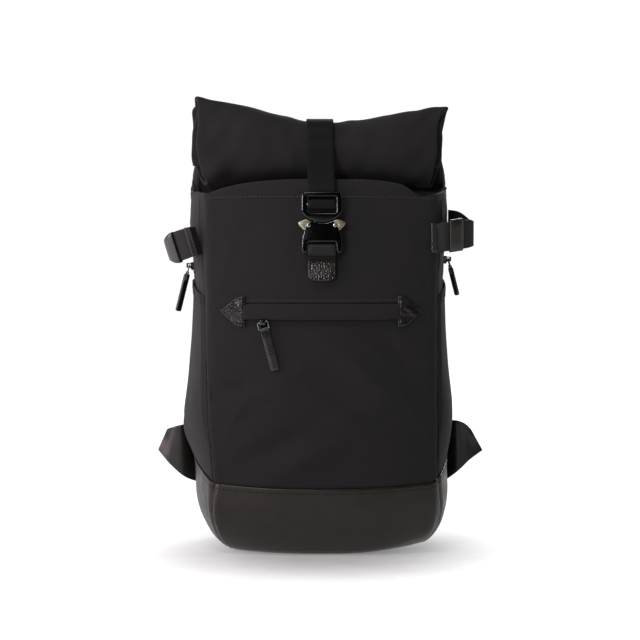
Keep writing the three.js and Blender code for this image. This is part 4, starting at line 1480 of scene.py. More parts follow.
@dataclass
class Shell:
    """The cloth front and sides with their pockets, and the padded back."""

    skin: BagSkin
    sewing: Sewing
    cloth: float = 2.4
    padding: float = 8
    swell: float = 1.5
    back_z: float = 4.3
    seam: float = 0.25
    hem: float = 1.5
    pocket_low: float = 106
    pocket_hem: Pair = (281, 297)
    hem_depth: float = 10
    pocket_lie: float = 0.3
    pocket_lift: float = 0.8
    flare: Pair = (5.0, 1.0)
    zip_y: float = 35.9
    zip_span: Pair = (250, 372)
    top_gap: float = 0.05
    front_width: float = 244
    side_width: float = 170
    stitch_inset: float = 4.0
    welt_half: float = 84
    welt_z: float = 275.4
    flap_z: float = 266.5
    anchor_z: float = 320
    anchor_half: Pair = (16, 30)
    fade: float = 14
    edge_relief: SeamRelief = SeamRelief(0.6, 6, 3, 1.3, 2.2)
    pucker: Pucker = Pucker(0.3, 0, 8, 2.4, Ripple(2.5, 50, 13))
    waves: tuple[Ripple, ...] = (Ripple(0.55, 62, 11), Ripple(0.22, 21, 12))
    creases: tuple[Fold, ...] = (
        Fold(-95, 150, 62, 40, 5, 0.8),
        Fold(-70, 160, 38, 45, 6, -0.7),
        Fold(20, 150, 28, 60, 8, 0.8),
        Fold(60, 140, 40, 45, 6, -0.7),
        Fold(92, 170, -58, 46, 6, 0.9),
        Fold(88, 215, -48, 34, 5, -0.8),
        Fold(0, 240, 8, 60, 6, 0.6),
        Fold(-60, 225, -18, 40, 7, 0.7),
        Fold(-100, 330, 75, 40, 6, 0.6),
        Fold(100, 330, -76, 40, 6, 0.6),
        Fold(60, 345, -20, 40, 8, 0.5),
        Fold(-55, 350, 18, 40, 8, 0.5),
    )

    def build(self) -> None:
        """Build the panels, the pockets and the back."""
        self.front()
        for side in Side:
            self.flank(side)
            self.pocket(side)
        self.back()

    def low(self, around: Array) -> Array:
        """Lower edge of the cloth, over the foot."""
        return self.skin.boot_line(around) + self.seam

    def back_low(self, around: Array) -> Array:
        """Lower edge of the padded back."""
        return np.full_like(around, self.back_z)

    def panel(self, ends: tuple[Sequence[float], Sequence[float]], cells: tuple[int, int]) -> Sheet:
        """A cloth panel from the foot up to the neck, between two ends."""
        return self.skin.panel(ends, self.low, self.skin.top - self.top_gap, cells, (-self.cloth, 0.0))

    def bulge(self, side: Side, y: Array, z: Array) -> Array:
        """How far a side stands out above its wing."""
        return self.flare[side is Side.RIGHT] * bump(z - 128, 22) * bump(y - 40, 45)

    def front(self) -> None:
        """The front panel, with its creases and sewn edges, still under what is sewn on it."""
        edge = self.seam / self.front_width
        left, right = (np.array(self.skin.seam(side)) for side in Side)
        sheet = self.panel((left + edge, right - edge), (132, 190))
        x, _, z = np.moveaxis(sheet.grid, -1, 0)
        from_edge, below_top = Foot.from_ends(sheet.grid), self.skin.top - z
        creases = sum(fold.rise(x, z) for fold in self.creases)
        slack = creases + rippled(self.waves, x, z) + self.pucker.rise(from_edge, x, z)
        welt = ramp(self.welt_half - np.abs(x), 2) * bump(z - self.welt_z, 2.8)
        sewn = -1.8 * bump(z - z[:, :1], 2.4) - 2 * welt
        flap = ramp(np.abs(z - self.flap_z) - self.fade, self.fade)
        half_x, half_z = self.anchor_half
        anchor = ramp(np.maximum(np.abs(x) - half_x, np.abs(z - self.anchor_z) - half_z), self.fade)
        ends = np.minimum(ramp(z - 82, 12), ramp(below_top, 10))
        ridge = self.edge_relief.rise(from_edge) * ramp(below_top, 6)
        sheet = sheet.raised(slack * flap * anchor * ends + ridge + sewn)
        cloth_piece("Front_panel", sheet.form(LAST_SQUARE), Held.STRETCHED)
        v = np.linspace(0.01, 0.995, 300)
        inset = self.stitch_inset / self.front_width
        rows = [sheet.line(inset, v), sheet.line(1 - inset, v)]
        self.sewing.sew("Stitches_front", rows, DARK_THREAD, Slot.CLOTH)

    def flank(self, side: Side) -> None:
        """One side panel, a little slack, with the slit of its zip.

        Args:
            side: Which side it is.
        """
        seam, edge = np.array(self.skin.seam(side)), self.seam / self.side_width
        if side is Side.RIGHT:
            ends = (seam + edge, (self.skin.right_end,) * 2)
        else:
            ends = ((self.skin.left_end,) * 2, 4 + seam - edge)
        sheet = self.panel(ends, (168, 120))
        _, y, z = np.moveaxis(sheet.grid, -1, 0)
        below_top = self.skin.top - z
        calm = np.minimum(ramp(z - 100, 16), ramp(below_top, 14))
        waves = Ripple(0.7, 60, 41 + side.value).rise(y * 1.6, z) + Ripple(0.22, 20, 44).rise(y, z)
        under_pocket = np.where(z < self.pocket_hem[1] + 8, 0.25, 1.0)
        groove = 1.3 * bump(Foot.from_ends(sheet.grid), 2.2) * ramp(below_top, 6)
        sewn = -1.8 * bump(z - z[:, :1], 2.6) - groove
        from_ends = np.minimum(z - self.zip_span[0], self.zip_span[1] - z)
        slit = -2.2 * bump(y - self.zip_y, 1.6) * ramp(from_ends, 4)
        lips = 0.7 * bump(np.abs(y - self.zip_y) - 4.5, 2.6) * ramp(from_ends, 10)
        sheet = sheet.raised(waves * calm * under_pocket + sewn + self.bulge(side, y, z) + slit + lips)
        word = side.word
        cloth_piece(f"Side_panel_{word}", sheet.form(LAST_SQUARE), Held.STRETCHED)

    def pocket(self, side: Side) -> None:
        """One side pocket, open along its doubled hem.

        Args:
            side: Which side it is.
        """
        u, v = np.linspace(0, 1, 67)[:, None], np.linspace(0, 1, 81)[None, :]
        away = u if side is Side.RIGHT else 1 - u
        low, high = self.skin.seam_shift[side is Side.RIGHT]
        share = lerp(lerp(low, high, 0.1 + 0.6 * v) + 0.006, self.skin.side_share, away)
        around = 1 + share if side is Side.RIGHT else 4 - share
        hem_line = lerp(*self.pocket_hem, away**0.8)
        lift = self.pocket_lie + self.pocket_lift * v**3 * np.sin(np.pi * u)
        base = Sheet(self.skin.surface(around, lerp(self.pocket_low, hem_line, v)), 0.0, 0.0)
        _, y, z = np.moveaxis(base.grid, -1, 0)
        lift = lift + self.bulge(side, y, z)
        tucked = np.clip(np.minimum(np.minimum(u, 1 - u) * 12, v * 3), 0, 1)
        tucked = tucked**2 * (3 - 2 * tucked)
        slack = 0.3 * (1 + soft_noise(y, z, 46, 51 + side.value))
        sheet = base.raised(lerp(-self.hem - 0.3, lift + slack, tucked))
        below = (1 - v) * (hem_line - self.pocket_low)
        doubled = 0.7 * ramp(self.hem_depth - below, 1.5)
        sheet = Sheet(sheet.grid, 0.1, self.hem + doubled)
        word = side.word
        cloth_piece(f"Side_pocket_{word}", sheet.form(), Held.STRETCHED)
        across = np.linspace(0.02, 0.98, 80)
        rows = [sheet.line(across, height) for height in (0.985, 0.95, 0.02)]
        self.sewing.sew(f"Stitches_pocket_{word}", rows, DARK_THREAD, Slot.CLOTH)

    def back(self) -> None:
        """The padded back, swollen between its sewn edges."""
        ends = ((2.003, 2.003), (2.997, 2.997))
        faces = (-self.padding + self.swell, -self.swell)
        sheet = self.skin.panel(ends, self.back_low, self.skin.top - 0.3, (60, 96), faces, ease=1.3)
        piece = plumped("Back_panel", sheet.form(), PADDING, self.swell)
        fit(piece, Slot.PADDING, ("back_panel",))


def plumped(name: str, form: Form, finish: Finish, cap: float) -> Piece:
    """Swell a padded piece with a short cloth simulation.

    Args:
        name: Name of the piece.
        form: Its shape before it swells, a little small.
        finish: Its cloth.
        cap: The most any point may move.

    Returns:
        The swollen piece.
    """
    pressure, quality, frames = 4, 5, 20
    piece = form_object(name, form, finish)
    scene = bpy.context.scene
    start = coordinates(piece.data)
    cloth = piece.modifiers.new("Cloth", "CLOTH")
    cloth.settings.use_pressure = True
    cloth.settings.uniform_pressure_force = pressure
    cloth.settings.quality = quality
    cloth.settings.effector_weights.gravity = 0
    for number in range(1, frames + 1):
        scene.frame_set(number)
    evaluated = piece.evaluated_get(bpy.context.evaluated_depsgraph_get())
    moved = coordinates(evaluated.data) - start
    piece.modifiers.clear()
    scene.frame_set(1)
    far = np.linalg.norm(moved, axis=1, keepdims=True)
    moved *= np.minimum(1, cap * MM / np.maximum(far, TINY))
    piece.data.vertices.foreach_set("co", (start + moved).ravel())
    smooth = piece.modifiers.new("Smooth", "SMOOTH")
    smooth.factor = 0.5
    smooth.iterations = 2
    apply_modifiers(piece)
    piece.data.shade_smooth()
    return piece


def coordinates(mesh: Mesh) -> Array:
    """Read a mesh's points.

    Args:
        mesh: The mesh.

    Returns:
        Its points in metres.
    """
    points = np.empty(3 * len(mesh.vertices))
    mesh.vertices.foreach_get("co", points)
    return points.reshape(-1, 3)


def apply_modifiers(piece: Piece) -> None:
    """Make a piece's modifiers part of its mesh.

    Args:
        piece: The piece.
    """
    mesh = bpy.data.meshes.new_from_object(piece.evaluated_get(bpy.context.evaluated_depsgraph_get()))
    piece.modifiers.clear()
    old = piece.data
    piece.data = mesh
    mesh.name = old.name
    bpy.data.meshes.remove(old)


@dataclass
class Top:
    """The neck over the panels and the roll above it."""

    skin: BagSkin
    sewing: Sewing
    cloth: float = 2.4
    sheet: float = 4.4
    pitch: float = 9.5
    turns: float = 1.6
    y_start: float = 23.5
    z_start: float = 435.6
    half: float = 138
    flat_share: float = 0.85
    flat_scale: float = 0.87
    tilt: float = 0.12
    girth: float = 210
    waves: tuple[Ripple, ...] = (Ripple(0.75, 58, 71), Ripple(0.3, 22, 72))
    stations: Table = Table(
        "at top bottom depth ahead",
        (
            (-1, 503.5, 394, 15, 23),
            (-0.55, 493, 399, 32, 0),
            (-0.2, 479.5, 401, 32, 0),
            (-0.12, 476, 402, 31, 0),
            (0.12, 475.5, 402, 31, 0),
            (0.2, 475.5, 401, 32, 0),
            (0.55, 484, 397, 32, 0),
            (1, 494, 394, 15, 23),
        ),
        smooth=False,
    )
    ends: Table = Table(
        "at left right",
        (
            (0, -139.5, 136),
            (0.25, -134.5, 139),
            (0.38, -134, 130),
            (0.5, -133, 126),
            (0.75, -125, 122),
            (1, -139, 133),
            (1.25, -136.5, 134.5),
            (1.6, -139.5, 132),
        ),
    )

    def build(self) -> None:
        """Build the neck and the roll."""
        self.neck()
        self.roll()

    def neck(self) -> None:
        """The neck: over the lip, into the crease and up under the roll."""
        columns = 220
        around = np.linspace(0, 4, columns, endpoint=False)[:, None]
        at = np.linspace(0.003, 7, 64)[None, :]
        sheet = Sheet(self.skin.neck_point(around, at), -self.cloth, 0.0, ring=True)
        turn = around * 90
        amount = ramp(at, 0.6) * ramp(6.4 - at, 1.5)
        flank = np.where(np.floor(around) % 2 == 1, 1.0, 0.45)
        waves = flank * (Ripple(0.9, 34, 61).rise(turn, at * 9) + Ripple(0.35, 13, 62).rise(turn, at * 12))
        from_corner = np.mod(around + 2, 4) - 2
        tuck = -16 * bump(from_corner - 0.015, 0.1) * bump(at - 4.5, 1.2)
        sheet = sheet.raised(waves * amount + tuck)
        cloth_piece("Neck", sheet.form(FIRST_SQUARE), Held.FOLDED, "collar")
        seam = np.linspace(0.008, 0.992, 240) / 4 * columns / (columns - 1)
        self.sewing.sew("Stitches_lip", [sheet.line(seam, 0.028)], THREAD, Slot.CLOTH)

    def section(self, x: Array) -> dict[str, Array]:
        """The roll's sizes along it, evened out between stations.

        Args:
            x: Places along the roll.

        Returns:
            Each size at those places.
        """
        share = np.clip(x / self.half, -1, 1)
        rows = [self.stations.at(np.clip(share + step, -1, 1)) for step in np.linspace(-0.1, 0.1, 7)]
        row = {key: sum(each[key] for each in rows) / len(rows) for key in rows[0]}
        return {
            "depth": row["depth"],
            "half": (row["top"] - row["bottom"] - self.sheet) / 2,
            "ahead": row["ahead"],
            "y": self.y_start - row["depth"] - row["ahead"],
            "z": (row["top"] + row["bottom"]) / 2,
        }

    def place(self, x: Array, turn: Array, off: Array | float) -> Array:
        """Points of the roll, its front flattened and its inner turn drawn flat at two places.

        Args:
            x: Places along the roll.
            turn: Turns from its back, 0, over its top, 0.25, and its front, 0.5.
            off: How far the points stand off its middle.

        Returns:
            The points.
        """
        row = self.section(x)
        shrink = self.pitch * turn - off
        swing, rise = np.cos(2 * np.pi * turn), np.sin(2 * np.pi * turn)
        ahead = np.clip(-swing, 1e-6, 1)
        flat = (ahead**-6 + self.flat_share**-6) ** (-1 / 6) / self.flat_scale
        leant = self.tilt * row["half"] * rise * ahead + row["ahead"] * (1 - ramp(turn, 0.24))
        inside = ramp(turn - 0.85, 0.15)
        pinched = bump(np.abs(x) - 55, 26) * inside
        drawn = 1 + 0.2 * bump(x, 22) * inside - 0.87 * pinched
        y = row["y"] + (row["depth"] - shrink) * drawn * np.where(swing < 0, -flat, swing) + leant
        y = y + 5 * np.sign(x) * pinched
        z = row["z"] + (row["half"] - shrink) * rise
        return np.stack(np.broadcast_arrays(x, y, z), -1)

    def roll(self) -> None:
        """The roll, its layers uneven at both ends."""
        rise = 0.03
        u, v = np.linspace(0, 1, 113)[:, None], np.linspace(0, 1, 241)[None, :]
        turn = self.turns * np.maximum(0, (v - rise) / (1 - rise))
        ends = self.ends.at(turn)
        wander = 1.5 * np.sin(6.2 * np.pi * turn + 0.6) + 0.4 * np.sin(15 * np.pi * turn)
        x = lerp(ends["left"] + wander, ends["right"] - 0.8 * wander, u)
        place = self.place(x, turn, 0.0)
        foot = lerp(self.z_start, place[..., 2], v / rise)
        place[..., 2] = np.where(v < rise, foot, place[..., 2])
        sheet = Sheet(place, -self.sheet / 2, self.sheet / 2)
        above_foot = ramp(v - rise, 0.06)
        outside = ramp(1.05 - turn, 0.2) * above_foot
        calm = ramp(np.abs(x) - 15, 20)
        waves = rippled(self.waves, x, self.girth * turn)
        pinch = 1.2 * bump(np.abs(x) - 30, 9) * np.sin(2 * np.pi * turn * 3 + 0.5)
        from_end = Foot.from_ends(place)
        curl = lerp(1.0, 2.2, ramp(turn - 0.4, 0.4))
        end_curl = curl * bump(from_end, 13) * np.sin(2 * np.pi * (3.3 * turn + 0.1 + 0.15 * np.sign(x)))
        pleat = 0.9 * bump(from_end - 16, 12) * np.sin(2 * np.pi * 6.1 * turn + x / 9)
        hollow = -5 * bump(x + 116, 14) * bump(turn - 0.6, 0.06)
        ends_relief = (end_curl + pleat) * above_foot + hollow * outside
        sheet = sheet.raised((waves + pinch) * outside * calm + ends_relief)
        cloth_piece("Roll", sheet.form(), Held.FOLDED, "roll_top")


@dataclass
class Closure:
    """The strap over the roll, its buckle, and the webbing and patch that hold it on the front."""

    skin: BagSkin
    top: Top
    sewing: Sewing
    web_width: float = 28
    webbing: float = 1.8
    strap_lie: float = 2.2
    y: float = -91
    z: float = 359.5
    tilt: float = 7
    strap_back: tuple[Pair, ...] = (
        (81.3, 350), (81.3, 386), (80.8, 402), (74, 413), (58, 422), (42, 436),
    )
    strap_loop: tuple[Pair, ...] = (
        (4.4, 40), (4.3, 33), (3.1, 29.5), (0, 28), (-2.4, 26.7), (-3.3, 24.4), (-3.3, 21.4),
        (-2.3, 18.9), (0, 17.9), (2.4, 18.9), (3.5, 21.6), (4.9, 26), (6.8, 31), (7, 43),
    )
    frame_half: tuple[Pair, ...] = ((-20, 36), (-21.8, 30), (-21.8, 14), (-15, 7.6), (-6, 3.6))
    window: tuple[float, float, float, float] = (15.8, 13.2, 31.5, 1.8)
    cover_half: tuple[Pair, ...] = (
        (-12.5, 5), (-18.8, -5.5), (-21.3, -13), (-21.6, -24), (-20.6, -29.5), (-16.3, -29.5), (-15.4, -17.8),
    )
    cover_top: tuple[Pair, ...] = ((6, 2.5), (-6, 2.5))
    lever_corners: tuple[Pair, ...] = (
        (-9.8, 3.4), (-16.5, 7), (-25.9, 3.6), (-24.6, 0.4), (-18.6, -5.6), (-10.4, -3.6),
    )
    shoulder_z: float = -9.4
    rivet_x: float = 14.3
    rivet_radius: float = 2.2
    patch_middle: float = 309.5
    patch_half: Pair = (13.5, 9.5)
    patch_corner: Pair = (5, 4.5)

    def build(self) -> None:
        """Build the webbing, the buckle and the patch."""
        turns = np.arange(0.1, 0.46, 0.05)
        off = self.top.sheet / 2 + self.strap_lie + self.webbing / 2
        over = self.top.place(np.zeros_like(turns), turns, off)[:, 1:]
        loop = [self.off_buckle(y, z) for y, z in self.strap_loop]
        self.strip("Closure_strap", [*self.strap_back, *over, *loop], WEBBING)
        off_buckle, on_panel = self.off_buckle, self.on_panel
        anchor = [
            on_panel(303, 1.5), on_panel(319, 1.6), off_buckle(2.9, -32), off_buckle(3.1, -25),
            off_buckle(1.7, -21.2), off_buckle(-1.7, -21.2), off_buckle(-3.1, -25), off_buckle(-2.4, -31),
            on_panel(323, 4.4), on_panel(316, 3.9), on_panel(303, 3.8),
        ]
        self.strip("Anchor_webbing", anchor, STRAP_WEBBING)
        self.patch()
        self.buckle()

    def on_panel(self, z: float, away: float) -> Pair:
        """A point off the middle of the front, as y and z."""
        return tuple(self.skin.off_front(0, z, away)[1:])

    def off_buckle(self, y: float, z: float) -> Pair:
        """A point of the buckle's own plane.

        Args:
            y: Its place in front of or behind the rivets.
            z: Its height over the rivets.

        Returns:
            Its y and z on the bag.
        """
        turn = -math.radians(self.tilt)
        return (
            self.y + y * math.cos(turn) - z * math.sin(turn),
            self.z + y * math.sin(turn) + z * math.cos(turn),
        )

    def strip(self, name: str, path: Points, finish: Finish) -> None:
        """A length of webbing.

        Args:
            name: Name of the piece.
            path: Its way in the plane of y and z.
            finish: Its finish.
        """
        line = smooth_path(path, 8 * len(path))
        x = np.linspace(-0.5, 0.5, 9) * self.web_width
        grid = np.stack(np.broadcast_arrays(x[:, None], line[None, :, 0], line[None, :, 1]), -1)
        sheet = Sheet(grid, -self.webbing / 2, self.webbing / 2)
        fitted(name, sheet.form(), finish, Slot.WEBBING)

    def patch(self) -> None:
        """The leather patch over the webbing's ends, its lower corners round."""
        wide, tall = self.patch_half
        across, up = self.patch_corner
        z = self.patch_middle + tall * np.linspace(-1, 1, 35)[None, :]
        corner_top = self.patch_middle - tall + up + 0.5
        round_off = across * (1 - np.sqrt(1 - ramp(corner_top - z, up) ** 2))
        x = np.linspace(-1, 1, 51)[:, None] * (wide - round_off)
        z = z + 0 * x
        grain = rippled((Ripple(0.16, 4, 91), Ripple(0.16, 2.2, 92)), x, z)
        sheet = Sheet(self.skin.front(x, z), 5.2, 7.2 + grain)
        fitted("Anchor_patch", sheet.form(), PATCH_LEATHER, Slot.TRIM)
        inset = 0.065
        side = np.linspace(0.1, 0.93, 20)
        across = np.linspace(inset + 0.02, 1 - inset - 0.02, 20)
        rows = [sheet.line(edge, side) for edge in (inset, 1 - inset)]
        rows += [sheet.line(across, edge) for edge in (0.09, 0.92)]
        self.sewing.sew("Stitches_patch", rows, DARK_THREAD, Slot.TRIM, 3.0, 1.5)

    def buckle(self) -> None:
        """The buckle's frame, covers, levers and rivets."""
        turned = Matrix.Rotation(-math.radians(self.tilt), 4, "X")
        place = Matrix.Translation((0, self.y * MM, self.z * MM)) @ turned
        bar_depth, bar_edge = (-1.7, 1.7), 0.8
        ring = outline(self.frame_half + mirrored(self.frame_half), 3.2, 7)
        holder = [
            plate([ring, box_outline(*self.window)], (-2.5, 2.5), 0.9, place),
            plate([box_outline(16.4, 20.5, 24.9, 1.0, 3)], bar_depth, bar_edge, place),
            plate([box_outline(8, -5, 10.2, 1.0, 3)], (-1.4, 1.4), 0.3, place),
        ]
        fitted("Buckle_frame", joined(holder), BLACK_METAL, Slot.BLACK)
        corners = self.cover_half + mirrored(self.cover_half)
        cover = outline(corners + self.cover_top, 2.2, 6)
        shoulder = [(x, min(z, self.shoulder_z)) for x, z in corners if z < -5]
        shoulder[0], shoulder[-1] = (-20, self.shoulder_z), (20, self.shoulder_z)
        body = [
            plate([cover], (-4.5, -1.95), 0.9, place),
            plate([cover], (1.95, 4.5), 0.9, place),
            plate([outline(shoulder, 1.2, 4)], (-2.1, 2.1), 0.1, place),
            plate([box_outline(16.8, -26.8, -23.2, 1.0, 3)], bar_depth, bar_edge, place),
        ]
        fitted("Buckle_body", joined(body), BLACK_METAL, Slot.BLACK)
        for side in Side:
            word, x = side.word, side.value * self.rivet_x
            corners = self.lever_corners if side is Side.LEFT else mirrored(self.lever_corners)
            loops = [outline(corners, 2.6, 7), round_outline(x, 0, self.rivet_radius + 0.3)]
            lever = tidy_mesh(plate(loops, (-1.5, 1.5), 0.6, place))
            fitted(f"Lever_{word}", lever, BRONZE, Slot.BRONZE, f"buckle_lever_{word}", f"lever_{word}")
            stud = tidy_mesh(plate([round_outline(x, 0, self.rivet_radius)], (-4.95, 4.95), 0.7, place))
            fitted(f"Rivet_{word}", stud, STEEL, Slot.STEEL, f"buckle_rivet_{word}")


@dataclass
class ZipPull:
    """A zip's slider, its wire bail and the leather tab on it."""

    name: str
    at: Array
    heading: float
    lean: float
    swing: float
    length: float
    sewing: Sewing
    twist: float = 0.0
    out: float = 5.8
    eye_height: float = 1.8
    eye: float = 1.5
    drop: float = 9
    wire: float = 1.5
    bail_half: float = 4.8
    width: float = 9.6
    thickness: float = 3

    def build(self) -> None:
        """Build the slider, the bail and the tab."""
        base = Matrix.Translation(Vector(self.at * MM)) @ Matrix.Rotation(self.heading, 4, "Z")
        turned = Matrix.Rotation(math.pi / 2, 4, "Z")
        reach = -self.out - 3.4
        corners = (
            (-0.5, 5), (-3.6, 5), (-4.4, 4.2), (reach, 4.2),
            (reach, -1.4), (-4.4, -1.4), (-3.6, -4), (-0.5, -4),
        )
        eye = round_outline(-self.out, self.eye_height, self.eye)
        slider = tidy_mesh(plate([outline(corners, 1.2, 4), eye], (-3, 3), 0.5, base @ turned))
        fitted(f"Slider_{self.name}", slider, BLACK_METAL, Slot.BLACK, f"{self.name}_slider")
        hang = base @ Matrix.Translation((0, -self.out * MM, self.eye_height * MM))
        hang = hang @ Matrix.Rotation(self.swing, 4, "X") @ Matrix.Rotation(self.lean, 4, "Y")
        half = self.bail_half + self.wire / 2
        path = box_outline(half, -self.drop, 0, 1.5, 6)
        ring = np.stack([path[:, 0], np.zeros(len(path)), path[:, 1]], -1)
        bail = wire_ring(ring, self.wire / 2, hang)
        fitted(f"Bail_{self.name}", bail, DARK_STEEL, Slot.STEEL, f"{self.name}_bail")
        self.tab(hang, turned)

    def tab(self, hang: Matrix, turned: Matrix) -> None:
        """The leather tab, folded round the bail and sewn down its middle.

        Args:
            hang: The bail's place.
            turned: The quarter turn that the tab's neck stands in.
        """
        radius, half = self.wire / 2 + 1.2, self.thickness / 2
        start = math.asin(half / radius)
        turn = np.linspace(start - math.pi / 2, 1.5 * math.pi - start, 24)
        loop = np.stack([radius * np.cos(turn), -self.drop + radius * np.sin(turn)], -1)
        neck = np.concatenate([[(-half, -self.drop - 9), (half, -self.drop - 9)], loop])
        hole = round_outline(0, -self.drop, self.wire / 2 + 0.3)
        low, high, wide = -self.drop - self.length, -self.drop - 1.2, self.width / 2
        turn_leaf = hang @ Matrix.Rotation(self.twist, 4, "Z")
        meshes = [
            plate([neck, hole], (0.3 - self.bail_half, self.bail_half - 0.3), 0.6, hang @ turned),
            plate([box_outline(wide, low, high, 2.8, 6)], (-half, half), 0.9, turn_leaf),
        ]
        fitted(f"Tab_{self.name}", joined(meshes), PLAIN_LEATHER, Slot.TRIM, f"{self.name}_pull")
        sewn = np.linspace(high - 9, low + 4, 24)
        rows = []
        for face in (-1, 1):
            points = [turn_leaf @ Vector((0, face * half * MM, z * MM)) for z in sewn]
            facing = np.array(turn_leaf.to_3x3() @ Vector((0, face, 0)))
            rows.append(StitchRow(np.array(points) / MM, np.tile(facing, (len(sewn), 1))))
        self.sewing.sew(f"Stitches_tab_{self.name}", rows, DARK_THREAD, Slot.TRIM, 3.2, 1.5)


@dataclass
class Pockets:
    """The front pocket's flap and leather ends, and the zip pulls of the bag."""

    skin: BagSkin
    sewing: Sewing
    half: float = 83
    profile: Table = Table(
        "z inner outer",
        (
            (258.8, 3.0, 4.5),
            (262, 1.8, 4.7),
            (268, 0.5, 4.0),
            (273, 0.3, 2.9),
            (274.3, 0.2, 1.9),
            (274.9, -1.2, -0.6),
            (275.6, -1.2, -0.6),
            (276.2, -1.0, 0.8),
            (277.4, -1.0, 0.9),
            (280.6, -1.0, -0.2),
        ),
        smooth=False,
    )
    lie: float = 0.5
    shoulder: float = 91
    tip: float = 108
    end_half: float = 15.5
    end_z: float = 266.5
    leather: float = 2
    front_at: Triple = (-64, 253.6, 0.2)

    def build(self) -> None:
        """Build the flap, its ends and the pulls."""
        self.flap()
        for side in Side:
            self.end(side)
        at = self.skin.off_front(*self.front_at)
        ZipPull("front", at, 0, -math.radians(15), -math.radians(3), 46, self.sewing, drop=7.8).build()
        for side, z, length in ((Side.LEFT, 312, 45), (Side.RIGHT, 319, 34)):
            around = 1.62 if side is Side.RIGHT else 3.38
            at = self.skin.surface(np.array(around), np.array(float(z)))
            turn = side.value * math.pi / 2
            twist = math.radians(18 if side is Side.RIGHT else -30)
            ZipPull(f"side_{side.word}", at, turn, 0, -math.radians(14), length, self.sewing, twist).build()

    def flap(self) -> None:
        """The flap over the zip, with the welt that it is sewn under."""
        heights = np.array([row[0] for row in self.profile.rows])
        z = np.sort(np.concatenate([heights, np.linspace(heights[0], heights[-1], 36)[1:-1]]))
        x = np.linspace(-self.half, self.half, 111)[:, None]
        row = self.profile.at(z[None, :] + 0 * x)
        sag = ramp(266 - z, 8) * np.cos(x / self.half * np.pi / 2)
        puff = Ripple(0.2, 30, 81).rise(x, z + 0 * x) * ramp(273 - z, 4)
        sheet = Sheet(self.skin.front(x, z - 0.8 * sag), row["inner"], row["outer"] + puff)
        cloth_piece("Zip_flap", sheet.form(), Held.STRETCHED)
        u = np.linspace(0.01, 0.99, 120)
        above = self.skin.on_front(np.linspace(-82, 82, 60), 279.0, np.full(60, 0.5), 2, (0.0, 0.2))
        self.sewing.sew("Stitches_flap", [above.line(u, 0.5)], THREAD, Slot.CLOTH)

    def end(self, side: Side) -> None:
        """One arrow-shaped leather end of the flap.

        Args:
            side: Which side it is.
        """
        start = self.half + 0.4
        straight = np.linspace(start, self.shoulder, 12)
        away = np.concatenate([straight, np.linspace(self.shoulder + 0.8, self.tip, 22)])
        share = ramp(away - self.shoulder, self.tip - self.shoulder)
        half = lerp(self.end_half, 0.3, share) - 0.8 * bump(away - self.shoulder, 1.6)
        x = side.value * away
        order = slice(None) if side is Side.RIGHT else slice(None, None, -1)
        faces = (self.lie, self.lie + self.leather)
        sheet = self.skin.on_front(x[order], self.end_z, half[order], 44, faces)
        across, _, up = np.moveaxis(sheet.grid, -1, 0)
        out = np.abs(across)
        fold = 0.7 * bump((up - 268) * 0.8 + (out - 95) * 0.6, 2.4) * bump(out - 96, 8)
        crinkle = rippled((Ripple(0.2, 7, 95 + side.value), Ripple(0.07, 2.6, 97)), across, up)
        turned_in = 0.8 * bump(out - start - 2.6, 1.6)
        sheet = Sheet(sheet.grid, self.lie, self.lie + self.leather + fold + crinkle + turned_in)
        fitted(f"Zip_end_{side.word}", sheet.form(), TRIM_LEATHER, Slot.TRIM)
        count = len(away)
        index = np.linspace(0.09, 0.86, 40)
        place = index if side is Side.RIGHT else 1 - index
        reach = np.interp(index * (count - 1), np.arange(count), half)
        inset = np.clip(2.3 / np.maximum(reach, 1), 0, 0.92)
        rows = [sheet.line(place, 0.5 + sign * 0.5 * (1 - inset)) for sign in (1, -1)]
        for inward in (0.03, 0.17):
            edge = inward if side is Side.RIGHT else 1 - inward
            rows.append(sheet.line(np.full(12, edge), np.linspace(0.08, 0.92, 12)))
        self.sewing.sew(f"Stitches_end_{side.word}", rows, DARK_THREAD, Slot.TRIM, 3.2, 1.6)


